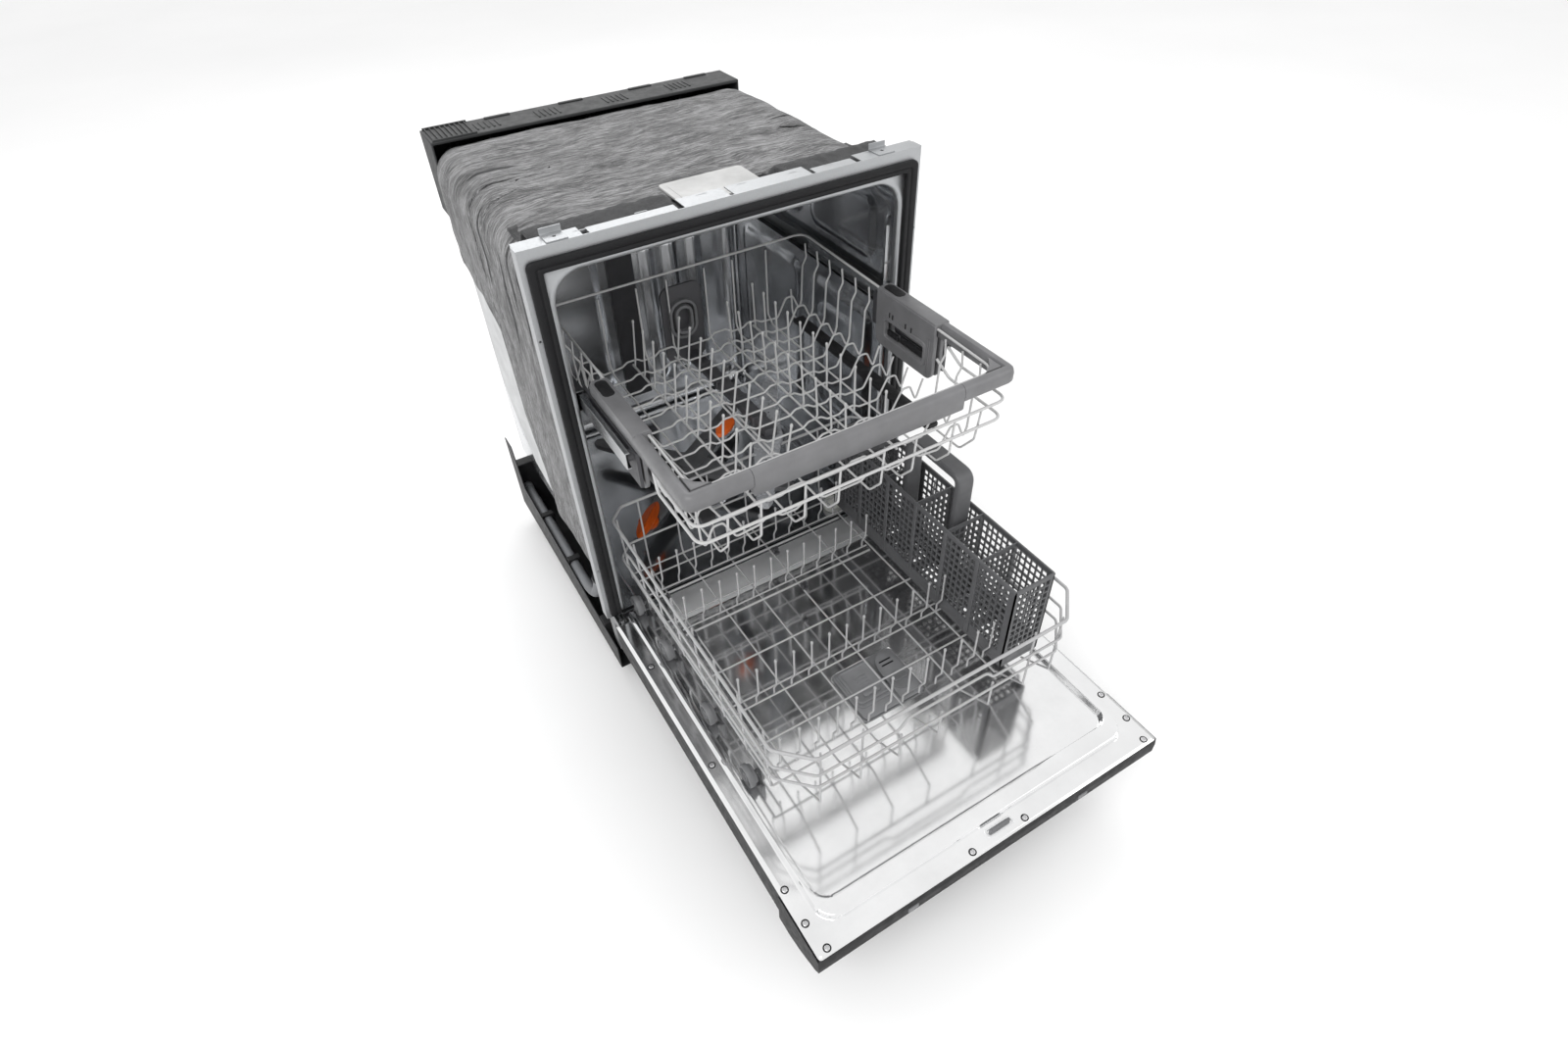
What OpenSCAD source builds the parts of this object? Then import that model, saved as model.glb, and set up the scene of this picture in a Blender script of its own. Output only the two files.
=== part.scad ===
// Built-in dishwasher with its door down and both racks drawn out.
// Millimetres, +Z up, floor at Z = 0, front towards -Y.

/* [Cabinet] */
// Width across the front flange
body_w = 599; // [594:1:604]
// Height of the seal frame's top edge above the floor
frame_top = 825; // [822:1:835]
// Reach of the rear top cover behind the seal frame
rear_reach = 577; // [575:1:590]
// Height of the base rails' underside above the floor
base_z = 40; // [34:1:46]
// Inside width of the tub
tub_w = 532; // [530:1:534]
// Depth from the seal frame to the tub's rear wall
tub_depth = 565; // [563:1:568]
// Height of the tub's inner ceiling above the floor
tub_ceiling = 801; // [795:1:804]
// Sheet thickness of the tub
tub_t = 1.5; // [1.2:0.1:1.8]

/* [Door] */
// Height of the open door's inner rim above the floor
door_plane = 183; // [182:1:185]
// Length of the door from the seal frame to its free end
door_len = 641; // [630:1:650]
// Thickness of the door between its two skins
door_t = 58; // [54:1:60]
// Width of the door
door_w = 585; // [580:1:587]

/* [Lower rack] */
// Half width of the lower rack's rim, to the wire's middle
low_half = 248; // [244:1:249]
// Depth of the lower rack, wire middle to wire middle
low_depth = 558; // [552:1:560]
// How far the rack's front stands out of the seal frame
low_out = 502; // [496:1:503]
// Height of the rack's top rim above the floor
low_rim_z = 366; // [360:1:370]
// Spacing of the tines along a row
tine_pitch = 30.6; // [30:0.1:30.8]
// Number of tines in a fixed row
tine_count = 13; // [9:1:13]
// Height of the tine tips above the floor
tine_top = 317; // [305:1:322]
// Radius of a rack wheel
wheel_r = 18; // [17:0.5:18]

/* [Upper rack] */
// Half width of the upper rack's top ring, to the wire's middle
up_half = 228; // [224:1:229]
// How far the rack's front ring stands out of the seal frame
up_out = 286; // [280:1:288]
// How far the rack's rear ring reaches behind the seal frame
up_back = 213; // [205:1:215]
// Height of the floor wires above the floor of the room
up_floor_z = 515; // [513:1:520]
// Height of the top ring above the floor of the room
up_rim_z = 652; // [646:1:654]
// Spacing of the floor wires from front to back
up_pitch = 37.5; // [37:0.5:38]

/* [Hidden] */

$fn = 48;
gap = 0.15;
front_y = (door_len + 2 - rear_reach) / 2;
half_w = body_w / 2;
door_half = door_w / 2;
tub_half = tub_w / 2;
seal_half = door_half;
seal_in = seal_half - 19;
seal_bottom = 192;
track_z = door_plane - 2;
wheel_z = track_z + wheel_r + 0.3;
wheel_ys = [-5, -118, -262, -384];
wheel_x = 245;
wheel_bore = 3.05;
hinge_y = -5;
hinge_z = door_plane - 5;
pin_r = 4;
wire = 3.2;
rim_wire = 5;
low_front = -low_out;
low_rear = low_depth - low_out;
low_floor_z = 222;
tine_x0 = -214;
fold_x0 = -207;
fold_pitch = 31;
fold_count = 12;
tine_rows = [-33, -131, -310, -423];
basket_x = [158, 231];
basket_y = [-446, 4];
basket_z = [232, 396];
rail_z = 612;
rail_len = 533;
arm_y = 285;
arm_z = 194;
up_arm_y = -40;
up_arm_z = 473;
duct_x = 15;
pan_hole = [205, 125];
inlet_r = 9;
knockout_r = 11;
spigot_r = 9.5;
bracket_xs = [-246, 240];
bracket_y = 20;
side_hole_z = [300, 720];
disp_x = 9;
disp_y = -343;
cover_w = 553;
cover_d = 71;
cover_top = 817;
stainless = [0.72, 0.73, 0.74];
galvanised = [0.86, 0.87, 0.88];
black = [0.09, 0.09, 0.10];
dark_grey = [0.24, 0.24, 0.26];
mid_grey = [0.52, 0.52, 0.54];
nylon = [0.80, 0.80, 0.80];

// ---- helpers ----

// Moves cabinet coordinates (Y = 0 at the seal frame) to the object's own origin.
module placed() translate([0, front_y, 0]) children();

// A box between two opposite corners.
module block(a, b) translate(a) cube(b - a);

// A straight round rod between two points.
module rod(a, b, d) {
    v = b - a;
    translate(a)
        rotate([0, acos(v.z / norm(v)), atan2(v.y, v.x)])
            cylinder(h = norm(v), d = d, $fn = 16);
}

// Rods along a list of points, each a separate straight piece with a small gap at the joints.
module chain(points, d, closed = false) {
    last = closed ? len(points) - 1 : len(points) - 2;
    for (i = [0:last]) {
        a = points[i];
        b = points[(i + 1) % len(points)];
        u = (b - a) / norm(b - a);
        rod(a + u * d * 0.52, b - u * d * 0.52, d);
    }
}

// The same shape on both sides of the middle.
module both_sides() {
    children();
    mirror([1, 0, 0]) children();
}

// Outline of a rectangle with rounded corners, centred on the origin.
function round_rect(w, h, r, n = 6) =
    [for (c = [[1, 1, 0], [-1, 1, 90], [-1, -1, 180], [1, -1, 270]], i = [0:n])
        [c.x * (w / 2 - r) + r * cos(c[2] + 90 * i / n), c.y * (h / 2 - r) + r * sin(c[2] + 90 * i / n)]];

// A rounded rectangle extruded along +Y from y0 to y1, centred on height zc.
module front_prism(w, h, r, zc, y0, y1) {
    translate([0, y1, zc])
        rotate([90, 0, 0])
            linear_extrude(y1 - y0) polygon(round_rect(w, h, r));
}

// A rounded rectangle extruded upward.
module slab(w, d, r, h) linear_extrude(h) polygon(round_rect(w, d, r));

// A profile given in (Y, Z) extruded along X from x0 to x1.
module side_prism(points, x0, x1) {
    translate([x0, 0, 0])
        rotate([90, 0, 90])
            linear_extrude(x1 - x0) polygon(points);
}

// A disc or tube lying along X, centred on [x, y, z].
module along_x(x, y, z, r, len) {
    translate([x - len / 2, y, z])
        rotate([0, 90, 0]) cylinder(h = len, r = r);
}

// ---- cabinet ----

tub_low = 158;
tub_h = tub_ceiling - tub_low;
tub_mid = (tub_ceiling + tub_low) / 2;
sump_r = 92;

module tub() color(stainless) placed() {
    difference() {
        union() {
            front_prism(tub_w + 2 * tub_t, tub_h + 2 * tub_t, 44, tub_mid, 7.5, tub_depth + tub_t);
            block([-seal_half + 3, 7.5, 194], [seal_half - 3, 9, 822]);
            for (s = [-1, 1])
                block([s > 0 ? 236 : -tub_half - 0.5, 9, tub_low], [s > 0 ? tub_half + 0.5 : -236, 566, track_z]);
        }
        difference() {
            front_prism(tub_w, tub_h, 42.5, tub_mid, 5, tub_depth);
            for (s = [-1, 1])
                block([s > 0 ? 236 : -300, 0, 100], [s > 0 ? 300 : -236, 600, track_z]);
        }
        translate([0, arm_y, 100]) cylinder(h = 80, r = sump_r);
        translate([duct_x, 600, 250]) rotate([90, 0, 0]) cylinder(h = 60, r = 14);
    }
}

module tub_front_flange() color(galvanised) placed() {
    side_w = half_w - seal_in - 6;
    difference() {
        block([-half_w, 6, 186], [half_w, 7.5, 841]);
        block([-half_w + side_w, 5, 180], [half_w - side_w, 9, 812]);
        for (z = side_hole_z, s = [-1, 1])
            translate([s * (half_w - 3.6), 10, z]) rotate([90, 0, 0]) cylinder(h = 6, r = 2);
    }
    for (s = [-1, 1])
        block([s > 0 ? half_w - 1.5 : -half_w, 7.5, 186], [s > 0 ? half_w : -half_w + 1.5, 26, 841]);
    difference() {
        for (t = [[-298, 84, 25], [-205, 120, 17], [-76, 66, 30], [-4, 120, 30], [122, 66, 17], [196, 102, 25]])
            block([t.x, 7.5, 839.5], [t.x + t.y, 7.5 + t.z, 841]);
        for (x = bracket_xs)
            translate([x, bracket_y, 835]) cylinder(h = 12, r = 2.5);
    }
}

module tub_gasket() color(black) placed() {
    difference() {
        block([-seal_half, 0, seal_bottom], [seal_half, 6, frame_top]);
        block([-seal_in, -1, seal_bottom - 1], [seal_in, 7, frame_top - 16]);
    }
}

blanket_t = 8;
blanket_half = 287;
blanket_top = 817;

module insulation_blanket() color([0.50, 0.50, 0.51]) placed() {
    inner = blanket_half - blanket_t;
    side = [[40, 812], [500, 812], [500, 640], [365, 625], [290, 577], [300, 440], [248, 362], [240, 250], [40, 250]];
    block([-inner, 40, blanket_top - blanket_t], [inner, 500, blanket_top]);
    for (s = [-1, 1])
        side_prism(side, s > 0 ? inner : -blanket_half, s > 0 ? blanket_half : -inner);
}

module side_sheets() color([0.90, 0.91, 0.92]) placed() {
    sheet = [[30, 235], [174, 228], [377, 266], [457, 357], [478, 408], [481, 690], [30, 690]];
    for (s = [-1, 1])
        side_prism(sheet, s > 0 ? 276 : -277.2, s > 0 ? 277.2 : -276);
}

module rear_top_cover() color([0.16, 0.16, 0.17]) placed() {
    x = cover_w / 2;
    y = rear_reach - cover_d;
    block([-x, y, cover_top - 3], [x, rear_reach, cover_top + 2]);
    block([-x, rear_reach - 3, 690], [x, rear_reach, cover_top - 3]);
    for (s = [-1, 1])
        block([s > 0 ? x - 3 : -x, y, 690], [s > 0 ? x : -x + 3, rear_reach - 3, cover_top - 3]);
    over = tub_ceiling + tub_t + 1;
    behind = tub_depth + tub_t + 1;
    rib = [[y + 30, over], [behind, over], [behind, 775], [rear_reach - 3, 775], [rear_reach - 3, cover_top - 3],
        [y + 30, cover_top - 3]];
    for (i = [-4:4])
        side_prism(rib, i * 58 - 1.5, i * 58 + 1.5);
}

module label_plate() color([0.84, 0.84, 0.83]) placed()
    translate([11, 101, blanket_top]) slab(131, 84, 6, 1.2);

module top_brackets() color(galvanised) placed() {
    for (x = bracket_xs)
        difference() {
            union() {
                block([x - 14, 8, 841], [x + 14, 34, 842.5]);
                block([x - 14, 32.5, 842.5], [x + 14, 34, 850]);
            }
            translate([x, bracket_y, 835]) cylinder(h = 12, r = 2.5);
        }
}

module base_frame() color(black) placed() {
    x = 294;
    y0 = 14;
    y1 = 556;
    for (s = [-1, 1]) {
        block([s > 0 ? x - 26 : -x, y0, base_z], [s > 0 ? x : -x + 26, y1, base_z + 3]);
        side_prism([[y0, base_z + 3], [y1, base_z + 3], [y1, 217], [y1 - 40, 217], [y1 - 60, 120],
            [y0 + 60, 95], [y0, 95]], s > 0 ? x - 2 : -x, s > 0 ? x : -x + 2);
        block([s > 0 ? 240 : -x + 2, y1 - 24, base_z + 3], [s > 0 ? x - 2 : -240, y1, tub_low - 4]);
        block([s > 0 ? 240 : -x + 2, y0 + 60, base_z + 3], [s > 0 ? x - 2 : -240, y0 + 84, 100]);
    }
    difference() {
        block([-x + 26, y0 + 40, base_z], [x - 26, y1, base_z + 3]);
        translate([0, arm_y, base_z - 1]) cylinder(h = 6, r = 60);
        for (s = [-1, 1])
            translate([s * pan_hole.x, pan_hole.y, base_z - 1]) cylinder(h = 6, r = 16);
    }
    difference() {
        translate([hose_x, y1, hose_z]) rotate([-90, 0, 0]) cylinder(h = 20, r = spigot_r);
        translate([hose_x, y1 - 1, hose_z]) rotate([-90, 0, 0]) cylinder(h = 22, r = 7);
    }
    block([-x + 26, y1 - 3, base_z + 3], [x - 26, y1, 150]);
    for (s = [-1, 1])
        block([s * 255 - 25, y1 - 60, 0], [s * 255 + 25, y1 - 20, base_z]);
}

// Side plates that carry the door's hinge pins.
module hinge_brackets() color([0.30, 0.31, 0.32]) placed() {
    ear = [[12, 185], [-14, 185], [-14, 168], [12, 164]];
    both_sides() {
        side_prism(concat([[12, 92], [30, 92], [46, 200], [12, 200]], ear), 285, 288);
        side_prism(concat([[12, 140], [46, 140], [46, 190], [12, 190]], ear), 273, 276);
        along_x(280.5, hinge_y, hinge_z, pin_r, 11);
        block([275, 40, 141], [286, 46, 189]);
    }
}

module toe_kick() color(black) placed() {
    block([-266, 50, 8], [266, 52, 112]);
    block([-266, 51, 108], [266, 66, 110]);
}

module foot(x) color(mid_grey) placed() {
    translate([x, 84, 0]) cylinder(h = 8, r = 19, $fn = 6);
    translate([x, 84, 8]) cylinder(h = 30, r = 6);
}

module foot_left() foot(-262);
module foot_right() foot(262);

// ---- water system ----

module sump() color(dark_grey) placed() translate([0, arm_y, 0]) {
    difference() {
        translate([0, 0, 96]) cylinder(h = 60.3, r = 112);
        translate([0, 0, 100]) cylinder(h = 58, r = sump_r + 4);
        translate([0, -100, 116]) rotate([90, 0, 0]) cylinder(h = 30, r = 14);
        translate([100, 0, 116]) rotate([0, 90, 0]) cylinder(h = 30, r = 11);
    }
}

module filter_plate() color([0.60, 0.61, 0.62]) placed() translate([0, arm_y, 158.2]) {
    difference() {
        cylinder(h = 2, r = sump_r + 4);
        translate([0, 0, -1]) cylinder(h = 4, r = 13);
        translate([46, -34, -1]) cylinder(h = 4, r = 24);
        for (i = [0:23], r = [70, 78])
            rotate(i * 15) translate([r, 0, -1]) cylinder(h = 4, r = 1.8);
    }
}

module filter_cup() color(mid_grey) placed() translate([46, arm_y - 34, 0]) {
    difference() {
        translate([0, 0, 104]) cylinder(h = 66, r = 23.4);
        translate([0, 0, 107]) cylinder(h = 60, r = 21);
        for (i = [0:11], k = [0:2])
            rotate(i * 30) translate([18, 0, 116 + 13 * k]) rotate([0, 90, 0]) cylinder(h = 8, r = 3.5);
    }
    block([-14, -2.5, 170], [14, 2.5, 179]);
}

module circulation_pump() color([0.20, 0.20, 0.22]) placed() {
    translate([0, 172.5, 112]) rotate([90, 0, 0]) cylinder(h = 40, r = 44);
    translate([0, 133, 112]) rotate([90, 0, 0]) cylinder(h = 50, r = 36);
    translate([0, 84, 112]) rotate([90, 0, 0]) cylinder(h = 6, r = 12);
}

module drain_pump() color([0.84, 0.84, 0.80]) placed() {
    translate([112.2, arm_y, 116]) rotate([0, 90, 0]) cylinder(h = 36, r = 26);
    block([148.2, arm_y - 20, 96], [186, arm_y + 20, 136]);
}

module inlet_valve() color([0.88, 0.88, 0.84]) placed() translate([-pan_hole.x, pan_hole.y, 0]) {
    difference() {
        union() {
            block([-18, -18, 66], [18, 24, 94]);
            translate([0, 0, 50]) cylinder(h = 16, r = 12.5);
        }
        translate([0, 0, 49]) cylinder(h = 29, r = inlet_r);
    }
    block([-10, 24, 68], [10, 46, 90]);
}

hose_r = 10;
hose_x = -281;
hose_z = 98;
hose_bend = 130;
hose_turn = 62;
hose_y = [215, 532];

cuff = 6;

// The drain loop: a run along the base's left side that bends up to a fitting on the tub's wall.
module drain_hose() color([0.45, 0.46, 0.48]) placed() {
    translate([hose_x, hose_y.x + 1, hose_z])
        rotate([-90, 0, 0]) cylinder(h = hose_y.y - hose_y.x - 1, r = hose_r);
    translate([hose_x, hose_y.x + cuff, hose_z]) rotate([90, 0, 0]) cylinder(h = 2 * cuff, r = hose_r + 0.8);
    translate([hose_x, hose_y.x, hose_z + hose_bend]) {
        rotate([0, 90, 0]) rotate([0, 0, -hose_turn])
            rotate_extrude(angle = hose_turn) translate([hose_bend, 0]) circle(r = hose_r);
        rotate([-hose_turn, 0, 0]) translate([0, 0, -hose_bend]) rotate([90, 0, 0]) {
            translate([0, 0, -cuff]) cylinder(h = 2 * cuff, r = hose_r + 0.8);
            translate([0, 0, 1]) cylinder(h = 54, r = hose_r);
        }
    }
}

module hose_clips() color(black) placed() {
    for (y = [250, 400])
        difference() {
            block([hose_x - 10.6, y, hose_z - 14], [hose_x + 13, y + 12, hose_z + 14]);
            translate([hose_x, y - 1, hose_z]) rotate([-90, 0, 0]) cylinder(h = 14, r = hose_r + 0.1);
        }
    translate([hose_x, hose_y.x, hose_z + hose_bend])
        rotate([-hose_turn, 0, 0]) translate([0, -55.1, -hose_bend]) rotate([90, 0, 0]) difference() {
            cylinder(h = 8, r = 13);
            translate([12.8, -20, -1]) cube([10, 40, 10]);
        }
}

module junction_box() color([0.80, 0.81, 0.82]) placed() translate([pan_hole.x - 28, pan_hole.y - 35, 60]) {
    difference() {
        cube([56, 70, 44]);
        translate([1.5, 1.5, 1.5]) cube([53, 67, 50]);
        translate([28, 35, -1]) cylinder(h = 4, r = knockout_r);
    }
    translate([0, 0, 44.1]) cube([56, 70, 1.5]);
}

duct_t = 7;
port_x = duct_x - 15;
port_z = 597;

module supply_duct() color(dark_grey) placed() {
    y1 = tub_depth - 0.1;
    difference() {
        union() {
            block([duct_x - 27, y1 - duct_t, 206], [duct_x + 27, y1, 796]);
            translate([port_x, y1 - duct_t + 1, port_z]) rotate([90, 0, 0]) cylinder(h = 32, r = 21);
        }
        block([duct_x - 24, y1 - 5, 209], [duct_x + 24, y1 - 2, 793]);
        translate([port_x, y1 - 4, port_z]) rotate([90, 0, 0]) cylinder(h = 50, r = 17);
    }
}

module ceiling_nozzle() color(dark_grey) placed() {
    block([duct_x - 14, 285, 790], [duct_x + 14, tub_depth - duct_t - 0.3, 800.8]);
    translate([duct_x, 285, 778]) cylinder(h = 22.8, r = 30);
    translate([duct_x, 285, 772]) cylinder(h = 6, r = 20);
}

module overfill_float() color([0.90, 0.90, 0.88]) placed() translate([196, 62, 0]) {
    translate([0, 0, 158.4]) cylinder(h = 12, r = 20);
    translate([0, 0, 170.4]) cylinder(h = 5, r = 14);
}

// A flat spray arm blade from the middle outward along +X, with a row of jets.
module blade(len, root, tip, h, jets) {
    difference() {
        linear_extrude(h)
            polygon([[0, -root], [len - tip, -tip], [len, -tip / 2], [len, tip / 2], [len - tip, tip], [0, root]]);
        for (i = [1:jets])
            translate([len * (0.24 + 0.7 * i / (jets + 1)), 0, h - 4]) cylinder(h = 6, r = 2.2);
    }
}

module lower_spray_arm() color([0.34, 0.34, 0.36]) placed() translate([0, arm_y, arm_z]) {
    for (a = [38, 128, 218, 308])
        rotate(a) difference() {
            blade(218, 26, 13, 11, 5);
            if (a == 218) translate([184, 0, 4]) cylinder(h = 10, r = 22);
        }
    translate([0, 0, 9]) cylinder(h = 6, r = 24);
    translate([0, 0, -20]) cylinder(h = 20, r = 12.6);
}

module arm_satellite() color([0.86, 0.32, 0.06]) placed() translate([0, arm_y, arm_z])
    rotate(218) translate([184, 0, 4.4]) {
        cylinder(h = 5, r = 21);
        translate([0, 0, 5]) linear_extrude(3)
            polygon([[-19, -4], [0, -7], [19, -4], [19, 4], [0, 7], [-19, 4]]);
    }

// ---- upper rack and its slides ----

module rack_rails() color([0.22, 0.22, 0.24]) placed() {
    both_sides()
        side_prism_channel(252.5, tub_half - 0.1, rail_z - 16, rail_z + 16, 12, 12 + rail_len, 1.5);
}

// A C channel along Y, open towards the middle of the tub.
module side_prism_channel(x0, x1, z0, z1, y0, y1, t) {
    difference() {
        block([x0, y0, z0], [x1, y1, z1]);
        block([x0 - 1, y0 - 1, z0 + t], [x1 - t, y1 + 1, z1 - t]);
    }
}

module rail_slides() color([0.55, 0.56, 0.58]) placed() {
    both_sides()
        side_prism_channel(255, 262, rail_z - 12.5, rail_z + 12.5, -146, 250, 1.6);
}

carrier_y = [-150, 30];

module rack_carriers() color([0.30, 0.30, 0.32]) placed() {
    both_sides() {
        difference() {
            block([244.6, carrier_y.x, 566], [249.4, carrier_y.y, 622]);
            block([244, carrier_y.x + 30, 582], [250, carrier_y.y - 30, 604]);
        }
        for (y = [carrier_y.x + 16, carrier_y.y - 16])
            along_x(253.4, y, rail_z, 8, 8);
    }
}

up_side_z = up_rim_z - wire;
up_foot = 204;
cross_count = 13;
function cross_y(i) = up_back - 10 - up_pitch * i;

module upper_rack_wires() color(nylon) placed() {
    ring = [[-up_half, up_back, up_rim_z], [up_half, up_back, up_rim_z], [up_half, -up_out + 14, up_rim_z - 12],
        [-up_half, -up_out + 14, up_rim_z - 12]];
    chain(ring, 4, closed = true);
    for (i = [0:cross_count - 1]) {
        y = cross_y(i);
        rod([-up_foot + 2, y, up_floor_z], [up_foot - 2, y, up_floor_z], wire);
        for (s = [-1, 1])
            rod([s * (up_foot + 1), y, up_floor_z + 2], [s * (up_half - 4.2), y, up_rim_z - 14], wire);
    }
    for (x = [-196, -156, -81, -24, 24, 81, 156, 196])
        rod([x, up_back - 6, up_floor_z - wire - gap], [x, -up_out + 30, up_floor_z - wire - gap], wire);
    for (x = [-190:54.2:190]) {
        rod([x, up_back - 4.2, up_floor_z + 3], [x, up_back - 4.2, up_rim_z - 4], wire);
        rod([x, -up_out + 26, up_floor_z + 4], [x, -up_out + 13, up_rim_z - 22], wire);
    }
    for (p = [[558, 12], [600, 9]])
        rod([-up_half + 14, -up_out + p.y, p.x], [up_half - 14, -up_out + p.y, p.x], 4);
    for (x = [-50, 50], i = [1:10])
        rod([x, cross_y(i) - 10, up_floor_z + 6], [x + 7, cross_y(i) - 16, up_floor_z + 92], wire);
    for (x = [-50, 50])
        rod([x, cross_y(1) + 6, up_floor_z + wire + gap], [x, cross_y(10) - 18, up_floor_z + wire + gap], wire);
}

// One folding row of tines on a bar that runs from front to back.
module tine_row_along_y(x, lean) {
    z = up_floor_z + wire + 1;
    rod([x, cross_y(0) - 4, z], [x, cross_y(11) - 8, z], 4);
    for (i = [0:10])
        rod([x, cross_y(i) - 14, z + 2 + 2 * gap], [x + lean, cross_y(i) - 20, z + 88], wire);
}

module upper_tines_left() color(nylon) placed() tine_row_along_y(-114, 6);
module upper_tines_right() color(nylon) placed() tine_row_along_y(114, -6);

handle_half = 250;
handle_z = [626, 650];

module upper_rack_handle() color([0.56, 0.56, 0.57]) placed() {
    y0 = -up_out - 8;
    bar = 17;
    difference() {
        block([-handle_half, y0, handle_z.x], [handle_half, -7, handle_z.y]);
        block([-handle_half + bar, y0 + bar, 600], [handle_half - bar, 0, 700]);
    }
}

module rack_adjusters() color([0.50, 0.50, 0.51]) placed() {
    both_sides()
        difference() {
            block([236.5, -150, 556], [242, -8, 625.9]);
            block([236, -126, 582], [243, -36, 606]);
        }
}

module upper_feed_tube() color([0.46, 0.46, 0.48]) placed() {
    z = 494;
    difference() {
        block([-11, up_arm_y - 14, z - 7], [11, up_back + 6, z + 7]);
        block([-9, up_arm_y - 12, z - 5], [9, up_back - 10, z + 5]);
    }
    translate([0, up_back + 6, 0]) side_dock();
    translate([0, up_arm_y, 483]) cylinder(h = 4, r = 16);
    translate([0, up_arm_y, 466]) cylinder(h = 17, r = 6);
}

// Oval docking plate at the rack's rear, with the mouth that meets the duct's port.
module side_dock() {
    difference() {
        union() {
            block([-28, 0, 487], [28, 5, 640]);
            translate([0, 17, 597]) rotate([90, 0, 0]) cylinder(h = 12, r = 15);
        }
        translate([0, 18, 597]) rotate([90, 0, 0]) cylinder(h = 16, r = 11);
    }
}

module upper_spray_arm() color([0.62, 0.63, 0.65]) placed() translate([0, up_arm_y, up_arm_z - 6]) {
    difference() {
        union() {
            for (a = [58, 238])
                rotate(a) blade(158, 22, 12, 12, 4);
            cylinder(h = 15, r = 24);
        }
        translate([0, 0, -3]) cylinder(h = 20, r = 6.4);
    }
}

module shelf_bars() color([0.13, 0.13, 0.14]) placed() {
    both_sides()
        block([up_foot - 30, cross_y(11), up_floor_z + 6], [up_foot - 8, cross_y(1), up_floor_z + 12]);
}

// ---- lower rack ----

front_cut = 42;
rear_cut = 24;
mid_ring_z = 326;
mid_lift = 16;
low_ring_z = 297;
low_ring_rear = 284;
foot_z = 252;
floor_y = -440;
post_inset = 6.2;
side_posts = [for (i = [0:7]) -432 + 66 * i];
grid_xs = [-198, -134, -70, -2, 87.5, 152];
front_posts = [-198, -134, 154, 205];
front_stubs = [-70, -2, 88];
end_posts = [-196, -134, -70, -2, 87.5, 152, 196];

// Closed ring with cut corners, level at the front and at height z1 along the rear.
module ring(half, y0, y1, z0, z1, d) {
    chain([[half - rear_cut, y1, z1], [-half + rear_cut, y1, z1], [-half, y1 - rear_cut, z1],
        [-half, y0 + front_cut, z0], [-half + front_cut, y0, z0], [half - front_cut, y0, z0],
        [half, y0 + front_cut, z0], [half, y1 - rear_cut, z1]], d, closed = true);
}

// The middle ring stops short of the rear, and its front steps up in the middle.
module mid_ring(half, y0, y1, z, d) {
    step = 72;
    slope = 6;
    chain([[-half, y1, z], [-half, y0 + front_cut, z], [-half + front_cut, y0, z], [-step - slope, y0, z],
        [-step + slope, y0, z + mid_lift], [step - slope, y0, z + mid_lift], [step + slope, y0, z],
        [half - front_cut, y0, z], [half, y0 + front_cut, z], [half, y1, z]], d);
}

module lower_rack_rims() color(nylon) placed() {
    ring(low_half, low_front, low_rear, low_rim_z, low_rim_z, rim_wire);
    mid_ring(low_half - 1, low_front + 1, low_rear - 50, mid_ring_z, 4);
    ring(low_half - 2, low_front + 2, low_rear - 2, low_ring_z, low_ring_rear, 4);
    post_y = low_front + post_inset;
    side_x = low_half - post_inset;
    for (y = side_posts, s = [-1, 1])
        rod([s * side_x, y, low_rim_z - 2], [s * (side_x - 8), y, low_floor_z + 2], wire);
    for (x = front_posts)
        chain([[x, post_y, low_rim_z], [x, post_y, foot_z], [x, floor_y - 6, low_floor_z + 1]], wire);
    for (x = front_stubs)
        chain([[x, post_y, low_ring_z + 4], [x, post_y, foot_z], [x, floor_y - 6, low_floor_z + 1]], wire);
    for (x = end_posts)
        rod([x, low_rear - 8.2, low_rim_z - 2], [x, low_rear - 12.2, low_floor_z + 5.5], wire);
}

module lower_rack_floor() color(nylon) placed() {
    z1 = low_floor_z + wire + gap;
    for (x = grid_xs)
        rod([x, floor_y - 4, low_floor_z], [x, low_rear - 10, low_floor_z], wire);
    for (x = [-224, 224])
        rod([x, floor_y + 12, low_floor_z], [x, low_rear - 10, low_floor_z], wire);
    for (y = [floor_y + 4, -366, -292, -222, -88, 20, low_rear - 18])
        rod([-230, y, z1], [230, y, z1], wire);
    for (r = [2, 3]) {
        rod([tine_x0 - 8, tine_rows[r] - 6, z1], [156, tine_rows[r] - 6, z1], wire);
        for (i = [0:tine_count - 1])
            rod([tine_x0 + tine_pitch * i, tine_rows[r], z1 - 1], [tine_x0 + tine_pitch * i, tine_rows[r], tine_top],
                wire);
    }
}

// A folding row of tines on its bar, which runs across the rack.
module tine_row(y) {
    z = low_floor_z + wire + 3;
    rod([fold_x0 - 8, y, z], [fold_x0 + fold_pitch * (fold_count - 1) + 8, y, z], 4);
    for (i = [0:fold_count - 1])
        rod([fold_x0 + fold_pitch * i, y, z + 2 + gap], [fold_x0 + fold_pitch * i, y, tine_top], wire);
}

module lower_tines_rear() color([0.70, 0.70, 0.71]) placed() tine_row(tine_rows[0]);
module lower_tines_middle() color([0.70, 0.70, 0.71]) placed() tine_row(tine_rows[1]);

// Wheel brackets with their axle pins.
module rack_clips() color(mid_grey) placed() {
    for (y = wheel_ys)
        both_sides() {
            block([227.2, y - 13, wheel_z - 10], [231.2, y + 13, low_floor_z + 8]);
            along_x(240.2, y, wheel_z, wheel_bore - 0.05, 18);
        }
}

wheel_w = 14;

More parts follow.
